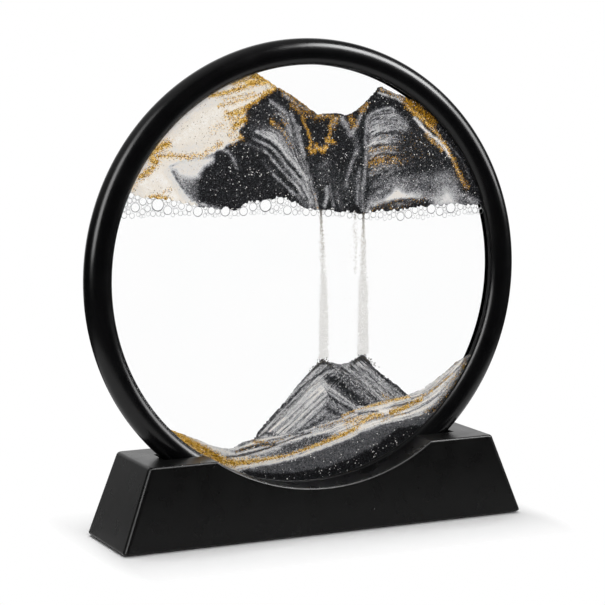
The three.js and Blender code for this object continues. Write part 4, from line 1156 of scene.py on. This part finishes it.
def paint_front_peak(points, seed):
    """The newest heap in front: light grey on its left slope, darker on its right."""
    art = SandPicture(points, pale=0.45, grit=0.54, stray=0.04, seed=seed)
    art.fan(
        [(7.5, 56.5), (-4, 49.5), (-22, 35)],
        [(10, 49), (6, 42.5), (1, 37.5), (-8, 33)],
        [(0, 0.76), (0.15, 0.84), (0.4, 0.82), (0.7, 0.72), (1, 0.52)],
        contrast=0.2, lines=46, fade=0.03)
    art.fan(
        [(4.5, 56.5), (14, 50), (26, 41.5)],
        [(8.5, 49), (11, 44.5), (15, 39.5)],
        [(0, 0.74), (0.25, 0.66), (0.5, 0.5), (0.8, 0.36), (1, 0.36)],
        contrast=0.22, lines=22, fade=0.03)
    art.streaks([
        (0.72, 0, 2.2, 0.9, [(5, 53.4), (0, 50), (-5, 46.4), (-9, 43.2)]),
        (0.4, 0, 0.4, 0.3, [(4, 50.6), (-1, 47), (-6, 43.2), (-12, 38.6), (-17, 35)]),
        (0.8, 0, 0.5, 0.3, [(5, 50), (0, 46.4), (-5, 42.6), (-11, 38)]),
        (0.36, 0, 0.4, 0.3, [(6.6, 49.8), (2, 46.4), (-3, 42.6), (-8, 38.8), (-13, 35.4)]),
        (0.78, 0, 0.5, 0.3, [(7.4, 49), (2, 45), (-3, 41.2), (-8, 37.6)]),
        (0.24, 0, 0.5, 0.35, [(8.8, 49.2), (5, 46.4), (0, 42.6), (-5, 38.8), (-9, 36)]),
        (0.66, 0, 0.4, 0.3, [(7.8, 47), (3, 43.2), (-2, 39.4), (-6, 36.6)]),
        (0.2, 0, 0.6, 0.4, [(8.4, 45.6), (4, 42), (-1, 38.2), (-4, 36.4)]),
        (0.55, 0, 0.8, 0.5, [(7.6, 43.4), (3.4, 40.2), (-1, 37.2)]),
        (0.16, 0, 1.0, 0.6, [(7, 40.6), (3, 38.4), (-2, 36.2), (-8, 34.8), (-14, 34.4)]),
        (0.16, 0, 1.0, 0.6, [(-14, 35.6), (-18, 36.4), (-21, 35.4)]),
        (0.36, 0, 0.4, 0.4, [(-6.6, 42), (-11, 38.6), (-15, 35.8)]),
        (0.36, 0, 0.4, 0.4, [(-9, 43.4), (-14, 39.4), (-18.4, 36)]),
        (0.7, 0, 1.0, 0.45, [(5.8, 54), (10, 51.2), (15, 48), (20, 44.8), (24, 42.4)]),
        (0.25, 0, 0.4, 0.3, [(9, 50.4), (14, 47.2), (19, 44), (22, 42.2)]),
        (0.6, 0, 0.6, 0.35, [(9.4, 49.6), (14, 46.6), (20, 42.8)]),
        (0.14, 0, 0.8, 0.4, [(9.2, 48.6), (13, 45.8), (17, 43.2), (19, 42)]),
        (0.45, 0, 0.5, 0.4, [(9, 46.8), (12, 44.6), (15.6, 42.2)]),
        (0.18, 0, 1.6, 0.8, [(8.6, 44), (11.4, 42), (14, 41)]),
        (0.7, 0, 0.7, 0.5, [(13.6, 42.2), (15, 41.4)]),
    ])
    return art


sand_mix, sand_tree, sand_shader = finish("dyed_sand")
GRAIN_SIZE = 0.25 * MM
CLUMP_SIZE = 1.1 * MM
BROWN_SHARE = 0.014
FLAKE_SPACING = 0.5 * MM
FLAKE_SIZE = 0.42 * MM
FLAKE_SHARE = 0.075
FLAKES_SHOW_BELOW = 0.75
GLINT_STRENGTH = 2.4
LEAST_PALE = 0.02


def sand_math(operation, *values, clamp=False):
    return node_maths(sand_tree, operation, *values, clamp=clamp)


def colour_mix(tree, share, first, second):
    """Two colours in one, the second as strong as the share says."""
    node = tree.nodes.new("ShaderNodeMix")
    node.data_type = "RGBA"
    tree.links.new(share, node.inputs["Factor"])
    for socket, value in ((node.inputs[6], first), (node.inputs[7], second)):
        if isinstance(value, list):
            socket.default_value = value
        else:
            tree.links.new(value, socket)
    return node.outputs[2]


def sand_cells(size):
    """Cells of about one size all through the sand, and three chances that each cell draws."""
    place = sand_tree.nodes.new("ShaderNodeTexCoord")
    cells = sand_tree.nodes.new("ShaderNodeTexVoronoi")
    cells.inputs["Scale"].default_value = 1 / size
    chances = sand_tree.nodes.new("ShaderNodeSeparateColor")
    joined(
        sand_tree,
        (place.outputs["Object"], cells.inputs["Vector"]),
        (cells.outputs["Color"], chances.inputs["Color"]))
    return cells.outputs["Distance"], chances.outputs[:3]


grain_distance, (tone_chance, gold_chance, rare_chance) = sand_cells(GRAIN_SIZE)
stria = sand_tree.nodes.new("ShaderNodeAttribute")
stria.attribute_name = "stria"
stria_parts = sand_tree.nodes.new("ShaderNodeSeparateXYZ")
sand_tree.links.new(stria.outputs["Vector"], stria_parts.inputs["Vector"])
stria_noise = sand_tree.nodes.new("ShaderNodeTexNoise")
stria_noise.noise_dimensions = "2D"
stria_noise.inputs["Scale"].default_value = 1.0
stria_noise.inputs["Detail"].default_value = 2.0
sand_tree.links.new(stria.outputs["Vector"], stria_noise.inputs["Vector"])
stria_tone = spread(sand_tree, stria_noise.outputs["Fac"], -1, 1, start=0.34, end=0.66)
stria_tone = sand_math("MULTIPLY", stria_tone, stria_parts.outputs["Z"])
gold_share = attribute_value(sand_tree, "gold")
pale_share = sand_math("ADD", attribute_value(sand_tree, "pale"), stria_tone)
pale_part = sand_math("MINIMUM", sand_math("MAXIMUM", pale_share, LEAST_PALE), 1.0)
dark_odds = sand_math("DIVIDE", sand_math("SUBTRACT", 1.0, pale_part), pale_part)
grain_tone = sand_math("SUBTRACT", sand_math("POWER", tone_chance, dark_odds), pale_part)
contrast = spread(sand_tree, pale_part, 0.85, 1.05, start=0.08, end=0.4)
contrast = sand_math("MULTIPLY", contrast, attribute_value(sand_tree, "grit"))
grain_tone = sand_math("MULTIPLY_ADD", grain_tone, contrast, pale_part)
fine_depth = spread(sand_tree, pale_part, 0.24, 0.035, start=0.1, end=0.9)
fine_tone = sand_math("MULTIPLY", sand_math("SUBTRACT", gold_chance, 0.5), fine_depth)
grain_tone = sand_math("ADD", grain_tone, fine_tone)
clump_depth = spread(sand_tree, pale_part, 0.045, 0.012, start=0.5, end=0.95)
clumps = spread(sand_tree, grain(sand_tree, CLUMP_SIZE, 3.0), -1, 1)
clump_tone = sand_math("MULTIPLY", clumps, clump_depth)
tone = sand_math("ADD", grain_tone, clump_tone, clamp=True)
plain_sand = ramp(sand_tree, tone, [
    (0.0, srgb(10, 10, 12)), (0.22, srgb(57, 58, 61)), (0.5, srgb(128, 128, 131)),
    (0.75, srgb(194, 194, 195)), (0.9, srgb(221, 219, 217)), (0.955, srgb(227, 218, 205)),
    (1.0, srgb(241, 238, 234))])
gold_light = spread(sand_tree, pale_share, 0.6, 1.08, start=0, end=0.8)
gold_light = sand_math("MULTIPLY", rare_chance, gold_light, clamp=True)
gold_sand = ramp(sand_tree, gold_light, [
    (0.0, srgb(30, 18, 0)), (0.26, srgb(104, 66, 0)), (0.5, srgb(186, 134, 22)), (0.72, srgb(228, 182, 78)),
    (0.95, srgb(250, 222, 156))])
gold_picked = sand_math("MULTIPLY_ADD", gold_chance, -1.0, gold_share)
gold_picked = spread(sand_tree, gold_picked, 0, 1, start=0, end=0.08)
mixed_sand = colour_mix(sand_tree, gold_picked, plain_sand, gold_sand)
# Painted glints: in dark sand a few flakes take a near-white colour in place of the sparkle that their faces
# would mirror.
darkness = sand_math("SUBTRACT", FLAKES_SHOW_BELOW, pale_share, clamp=True)
flake_distance, (flake_chance, glint_chance, _) = sand_cells(FLAKE_SPACING)
flake_face = sand_math("LESS_THAN", flake_distance, FLAKE_SIZE / 2 / FLAKE_SPACING)
flake_lit = sand_math("GREATER_THAN", flake_chance, 1 - FLAKE_SHARE)
painted_glint = sand_math("MULTIPLY", darkness, GLINT_STRENGTH)
painted_glint = sand_math("MULTIPLY", glint_chance, painted_glint, clamp=True)
painted_sparkle = sand_math("MULTIPLY", sand_math("MULTIPLY", flake_face, flake_lit), painted_glint)
mixed_sand = colour_mix(sand_tree, painted_sparkle, mixed_sand, srgb(250, 248, 244))
fleck = sand_math("MULTIPLY", sand_math("LESS_THAN", rare_chance, BROWN_SHARE), pale_share)
mixed_sand = colour_mix(sand_tree, fleck, mixed_sand, srgb(120, 96, 62))
sand_dullness = spread(sand_tree, tone_chance, 0.6, 0.95, start=0, end=1)
sand_tree.links.new(mixed_sand, sand_shader.inputs["Base Color"])
sand_tree.links.new(sand_dullness, sand_shader.inputs["Roughness"])
sand_shader.inputs["Specular IOR Level"].default_value = 0.06
roughen(sand_tree, sand_shader, grain_distance, 0.08 * MM, 0.3)

SHEETS = [
    ("upper_sand_cream", paint_upper, 0.3 * MM, "cream_sand"),
    ("upper_sand_dark", paint_upper, 0.31 * MM, "black_sand"),
    ("bank_sand_pale", paint_bank, 0.22 * MM, "gold_sand"),
    ("bank_sand_dark", paint_dark_bank, 0.25 * MM, "black_sand"),
    ("sand_peak_left", paint_rear_peaks, 0.2 * MM, "grey_sand"),
    ("sand_peak_right", paint_rear_peaks, 0.2 * MM, "grey_sand"),
    ("sand_peak_front", paint_front_peak, 0.2 * MM, "grey_sand"),
]
for number, (node, paint, step, slot) in enumerate(SHEETS):
    ragged = HEAP_JITTER if "peak" in node else EDGE_JITTER
    points, faces = sand_sheet(node, step, ragged, SHEET_SEED + number)
    sheet = new_piece(node + "_sheet", points.tolist(), faces.tolist())
    art = paint(points, PICTURE_SEED)
    for name, values in (("pale", art.pale), ("gold", art.gold), ("grit", art.grit)):
        layer = sheet.data.attributes.new(name, "FLOAT", "POINT")
        layer.data.foreach_set("value", values.astype(np.float32))
    layer = sheet.data.attributes.new("stria", "FLOAT_VECTOR", "POINT")
    layer.data.foreach_set("vector", art.stria.astype(np.float32).ravel())
    sheet.data.materials.append(sand_mix)
    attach(sheet, "ring")
    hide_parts(node)

# Falling streams: loose grains that run through gaps in the raft and spread as they fall.
# Each grain is a small faceted pebble, tan near the raft and paler below. A few stray to the side,
# and dark ones bounce about the tips of the heaps.
STREAMS = [
    ("sand_stream_left", 4300, 40, 150, 31),
    ("sand_stream_middle", 320, 20, 0, 32),
    ("sand_stream_right", 4600, 50, 150, 33),
]
STREAM_GRAIN = 0.11 * MM
SMALLEST_GRAIN = 0.55
LARGEST_GRAIN = 1.25
FULL_TURN = 6.28
STREAM_SWELL = 0.7
STREAM_TOP_SHARE = 0.4
TOP_CROWDING = 2.5
STRAY_SPREAD = 3.5 * MM
STREAM_BLOOM = 1.25 * MM
BLOOM_START = 0.2
BLOOM_FADE = 1.3
BOUNCE_HEIGHT = 0.6 * MM
BOUNCE_SINK = 1.8 * BOUNCE_HEIGHT
BOUNCE_SPREAD = 2.6 * MM
BOUNCE_SWELL = 2.4
BOUNCE_SLOPE = 0.75
STREAM_RISE = 3.6 * MM
TOP_MARGIN = 0.01 * MM
TOP_DRIFT = 0.8 * MM
FOOT_DRIFT = 0.35 * MM
PALE_AFTER = 20 * MM
TOP_PALENESS = 0.3
STRAY_PALENESS = 0.1
BOUNCE_PALENESS = -0.4


def grain_tree(material):
    """Small faceted grains on points, each turned and sized by chance from a fixed seed."""
    tree, inputs, entry, place = points_tree("stream_grains", material, [
        ("Grain Radius", "NodeSocketFloat", STREAM_GRAIN),
        ("Seed", "NodeSocketInt", 0)])
    pebble = tree.nodes.new("GeometryNodeMeshIcoSphere")
    turn = tree.nodes.new("FunctionNodeRandomValue")
    turn.data_type = "FLOAT_VECTOR"
    turn.inputs["Max"].default_value = (FULL_TURN, FULL_TURN, FULL_TURN)
    size = tree.nodes.new("FunctionNodeRandomValue")
    size.data_type = "FLOAT_VECTOR"
    size.inputs["Min"].default_value = (SMALLEST_GRAIN, SMALLEST_GRAIN, SMALLEST_GRAIN)
    size.inputs["Max"].default_value = (LARGEST_GRAIN, LARGEST_GRAIN, LARGEST_GRAIN)
    swell = tree.nodes.new("GeometryNodeInputNamedAttribute")
    swell.inputs["Name"].default_value = "swell"
    whole = tree.nodes.new("ShaderNodeVectorMath")
    whole.operation = "MULTIPLY"
    joined(
        tree,
        (entry.outputs["Grain Radius"], pebble.inputs["Radius"]),
        (entry.outputs["Seed"], turn.inputs["Seed"]),
        (entry.outputs["Seed"], size.inputs["Seed"]),
        (pebble.outputs["Mesh"], place.inputs["Instance"]),
        (turn.outputs["Value"], place.inputs["Rotation"]),
        (size.outputs["Value"], whole.inputs[0]),
        (swell.outputs["Attribute"], whole.inputs[1]),
        (whole.outputs["Vector"], place.inputs["Scale"]))
    return tree, inputs


loose_sand, loose_tree, loose_shader = finish("loose_sand")
loose_clouds = spread(loose_tree, grain(loose_tree, 0.5 * MM), -0.2, 0.2)
loose_tone = node_maths(loose_tree, "ADD", loose_clouds, attribute_value(loose_tree, "fallen"))
loose_colour = ramp(loose_tree, loose_tone, [
    (0.0, srgb(40, 40, 42)), (0.25, srgb(120, 108, 90)), (0.45, srgb(180, 170, 154)),
    (0.65, srgb(216, 213, 208)), (0.95, srgb(250, 249, 247))])
loose_tree.links.new(loose_colour, loose_shader.inputs["Base Color"])
loose_shader.inputs["Roughness"].default_value = 0.85
stream_tree, stream_inputs = grain_tree(loose_sand)
for node, count, strays, bounces, seed in STREAMS:
    chance = np.random.default_rng(seed)
    tree = solid_tree(node)
    low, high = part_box(node)
    axis = (low.x + high.x) / 2
    places = []
    while len(places) < count:
        fall = chance.uniform(0, 1)
        if len(places) <= count * STREAM_TOP_SHARE:
            fall = fall ** TOP_CROWDING
        z = high.z + STREAM_RISE + (low.z - high.z - STREAM_RISE) * fall
        start = Vector((chance.uniform(low.x, high.x), low.y - 1, min(z, high.z - TOP_MARGIN)))
        if tree.ray_cast(start, (0, 1, 0))[0] is not None:
            drift = TOP_DRIFT + (FOOT_DRIFT - TOP_DRIFT) * fall
            bloom = STREAM_BLOOM * min(1, fall / BLOOM_START) ** 2 * (1 - fall) ** BLOOM_FADE
            x = start.x + drift + bloom * chance.uniform(-1, 1)
            places.append((x, chance.uniform(low.y, high.y), z))
    for _ in range(strays):
        aside = chance.normal(0, STRAY_SPREAD)
        places.append((axis + aside, chance.uniform(low.y, high.y), chance.uniform(low.z, high.z)))
    for _ in range(bounces):
        height = low.z + chance.exponential(BOUNCE_HEIGHT) - BOUNCE_SINK
        aside = chance.normal(0, BOUNCE_SPREAD)
        places.append((axis + aside, chance.uniform(low.y, high.y), height - abs(aside) * BOUNCE_SLOPE))
    stream = new_piece(node + "_grains", places, [])
    fallen = stream.data.attributes.new("fallen", "FLOAT", "POINT")
    drops = [(high.z - place[2]) / PALE_AFTER for place in places[:count]]
    drops += [STRAY_PALENESS] * strays + [BOUNCE_PALENESS] * bounces
    paleness = TOP_PALENESS + (1 - TOP_PALENESS) * np.clip(drops, BOUNCE_PALENESS, 1)
    fallen.data.foreach_set("value", paleness.astype(np.float32))
    swell = stream.data.attributes.new("swell", "FLOAT", "POINT")
    sizes = 1 + STREAM_SWELL * np.clip(drops[:count + strays], 0, 1)
    sizes = np.append(sizes, [BOUNCE_SWELL] * bounces)
    swell.data.foreach_set("value", sizes.astype(np.float32))
    grow_nodes(stream, stream_tree, stream_inputs, [STREAM_GRAIN, seed])
    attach(stream, "ring")
    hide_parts(node)

# Studio: a white paper floor in a white room, with soft lamps in front and above that light the object.
# Long lamps at the sides are only mirrored, and one more is mirrored by the base alone. Camera and
# see-through rays find plain white; mirror rays find a room that is white behind and dim in front, and paper
# with a painted pool of light round the base.
FLOOR_RADIUS = 0.6
FLOOR_STEPS = 96
SHADOW_REACH = 0.038
SIDE_SHADOW_REACH = 0.009
MIRRORED_HALF_LENGTH = 0.3
MIRRORED_HALF_DEPTH = 0.195
floor_turns = [2 * math.pi * step / FLOOR_STEPS for step in range(FLOOR_STEPS)]
floor_edge = [(FLOOR_RADIUS * math.cos(turn), FLOOR_RADIUS * math.sin(turn), 0) for turn in floor_turns]
floor = new_piece("studio_floor", floor_edge, [tuple(range(FLOOR_STEPS))])
paper, paper_tree, paper_shader = finish("white_paper")
paper_shader.inputs["Roughness"].default_value = 1.0
paper_shader.inputs["Specular IOR Level"].default_value = 0.0
paper_light = paper_tree.nodes.new("ShaderNodeEmission")
paper_rays = paper_tree.nodes.new("ShaderNodeLightPath")
paper_place = paper_tree.nodes.new("ShaderNodeTexCoord")


def grey(value):
    return (value, value, value, 1)


def paper_vector(operation, source, *values):
    node = paper_tree.nodes.new("ShaderNodeVectorMath")
    node.operation = operation
    paper_tree.links.new(source, node.inputs[0])
    for socket, value in zip(node.inputs[1:], values):
        socket.default_value = value
    return node.outputs["Value" if operation == "LENGTH" else "Vector"]


beyond_base = paper_vector(
    "MULTIPLY_ADD", paper_vector("ABSOLUTE", paper_place.outputs["Object"]),
    (1 / SIDE_SHADOW_REACH, 1 / SHADOW_REACH, 0),
    (-shell_high.x / SIDE_SHADOW_REACH, -shell_high.y / SHADOW_REACH, 0))
beyond_base = paper_vector("LENGTH", paper_vector("MAXIMUM", beyond_base, (0, 0, 0)))
# Painted light: for mirror rays the paper's colour is a pool, light round the base and falling to near black
# further out.
mirror_reach = paper_vector(
    "MULTIPLY", paper_place.outputs["Object"], (1 / MIRRORED_HALF_LENGTH, 1 / MIRRORED_HALF_DEPTH, 0))
mirrored_paper_painted_pool = ramp(paper_tree, paper_vector("LENGTH", mirror_reach), [
    (0.69, grey(0.65)), (0.77, grey(0.5)), (0.88, grey(0.15)), (1.0, grey(0.04))])
paper_colour_and_painted_pool = colour_mix(
    paper_tree, paper_rays.outputs["Is Glossy Ray"], srgb(228, 228, 228), mirrored_paper_painted_pool)
plain_white = spread(paper_tree, beyond_base, 0, 1, start=0, end=1)
plain_white = node_maths(paper_tree, "MULTIPLY", paper_rays.outputs["Is Camera Ray"], plain_white)
paper_mix = shader_mix(
    paper_tree, plain_white, paper_shader.outputs["BSDF"], paper_light.outputs["Emission"])
joined(
    paper_tree,
    (paper_colour_and_painted_pool, paper_shader.inputs["Base Color"]),
    (paper_mix, paper_tree.nodes["Material Output"].inputs["Surface"]))
floor.data.materials.append(paper)

room = bpy.data.worlds.new("studio_room")
bpy.context.scene.world = room
room.use_nodes = True
room_tree = room.node_tree
room_rays = room_tree.nodes.new("ShaderNodeLightPath")
room_place = room_tree.nodes.new("ShaderNodeTexCoord")


def mirrored_light(direction, stops):
    """What mirror rays find in the room, by how near they run to a direction."""
    nearness = room_tree.nodes.new("ShaderNodeVectorMath")
    nearness.operation = "DOT_PRODUCT"
    nearness.inputs[1].default_value = direction
    room_tree.links.new(room_place.outputs["Generated"], nearness.inputs[0])
    return ramp(room_tree, nearness.outputs["Value"], stops)


plain_room = room_tree.nodes["Background"]
plain_room.inputs["Color"].default_value = grey(1)
plain_room.inputs["Strength"].default_value = 0.35
white_room = room_tree.nodes.new("ShaderNodeBackground")
white_room.inputs["Color"].default_value = grey(1)
mirror_room = room_tree.nodes.new("ShaderNodeBackground")
mirror_white = mirrored_light((0.25, 0.96, 0.1), [
    (0.0, grey(0.02)), (0.62, grey(0.03)), (0.78, grey(0.18)), (0.94, grey(1))])
mirror_glow = mirrored_light((-0.25, 0.42, 0.87), [
    (0.55, grey(0.02)), (0.7, grey(0.2)), (0.84, grey(0.28)), (0.96, grey(0.45))])
mirror_mix = shader_mix(
    room_tree, room_rays.outputs["Is Glossy Ray"],
    plain_room.outputs["Background"], mirror_room.outputs["Background"])
seen_white = node_maths(
    room_tree, "MAXIMUM", room_rays.outputs["Is Camera Ray"], room_rays.outputs["Is Transmission Ray"])
seen_mix = shader_mix(room_tree, seen_white, mirror_mix, white_room.outputs["Background"])
joined(
    room_tree,
    (node_maths(room_tree, "MAXIMUM", mirror_white, mirror_glow), mirror_room.inputs["Color"]),
    (seen_mix, room_tree.nodes["World Output"].inputs["Surface"]))


def softbox(name, first, last, width, power, mirrored=False):
    """A flat lamp between two points that faces the ring. It lights things up or is only mirrored."""
    first = Vector(first)
    last = Vector(last)
    lamp = bpy.data.lights.new(name, "AREA")
    lamp.shape = "RECTANGLE"
    lamp.size = (last - first).length
    lamp.size_y = width
    lamp.energy = power
    holder = bpy.data.objects.new(name, lamp)
    middle = (first + last) / 2
    along = (last - first).normalized()
    away = (middle - Vector((0, 0, ring_height))).normalized()
    away = (away - along * away.dot(along)).normalized()
    across = away.cross(along)
    holder.matrix_world = Matrix.Translation(middle) @ Matrix((along, across, away)).transposed().to_4x4()
    holder.visible_glossy = mirrored
    holder.visible_diffuse = not mirrored
    bpy.context.scene.collection.objects.link(holder)
    return holder


softbox("key_light", (-0.9, -1.4, 0.9), (0.5, -1.5, 0.9), 0.9, 18.5)
softbox("top_light", (-0.5, 0.35, 1.25), (0.5, 0.35, 1.25), 0.8, 11.0)
softbox("right_lamp", (0.42, -0.36, 1.02), (0.92, -0.3, 0.56), 0.42, 16.0, mirrored=True)
softbox("right_lower_lamp", (0.92, -0.3, 0.56), (1.0, -0.38, 0.2), 0.42, 3.6, mirrored=True)
softbox("left_lamp", (-1.03, -0.36, 0.16), (-0.78, -0.21, 0.82), 0.38, 6.5, mirrored=True)
softbox("left_upper_lamp", (-0.78, -0.21, 0.82), (-0.64, -0.13, 1.1), 0.38, 1.1, mirrored=True)
edge_lamp = softbox("edge_lamp", (-0.5, -0.3, 1.0), (0.55, -0.1, 1.05), 0.5, 12.0, mirrored=True)
edge_lit = bpy.data.collections.new("edge_lit")
edge_lit.objects.link(base_shell)
edge_lamp.light_linking.receiver_collection = edge_lit

# Camera: the photograph's own view, from the left and a little above.
# The lens is given for the square frame, and the view is a hair off level.
VIEW_TURN = math.radians(-24.547)
VIEW_RISE = math.radians(7.665)
VIEW_ROLL = math.radians(-0.465)
VIEW_DISTANCE = 0.8654
VIEW_TARGET = Vector((-1.52 * MM, 0, 86.24 * MM))
lens = bpy.data.cameras.new("photo_view")
lens.sensor_width = 36.0
lens.lens = 135.4
view = bpy.data.objects.new("photo_view", lens)
level = math.cos(VIEW_RISE)
back = Vector((math.sin(VIEW_TURN) * level, -math.cos(VIEW_TURN) * level, math.sin(VIEW_RISE)))
facing = back.to_track_quat("Z", "Y").to_matrix() @ Matrix.Rotation(VIEW_ROLL, 3, "Z")
view.matrix_world = Matrix.Translation(VIEW_TARGET + back * VIEW_DISTANCE) @ facing.to_4x4()
bpy.context.scene.collection.objects.link(view)
bpy.context.scene.camera = view
bpy.context.scene.view_settings.view_transform = "Standard"
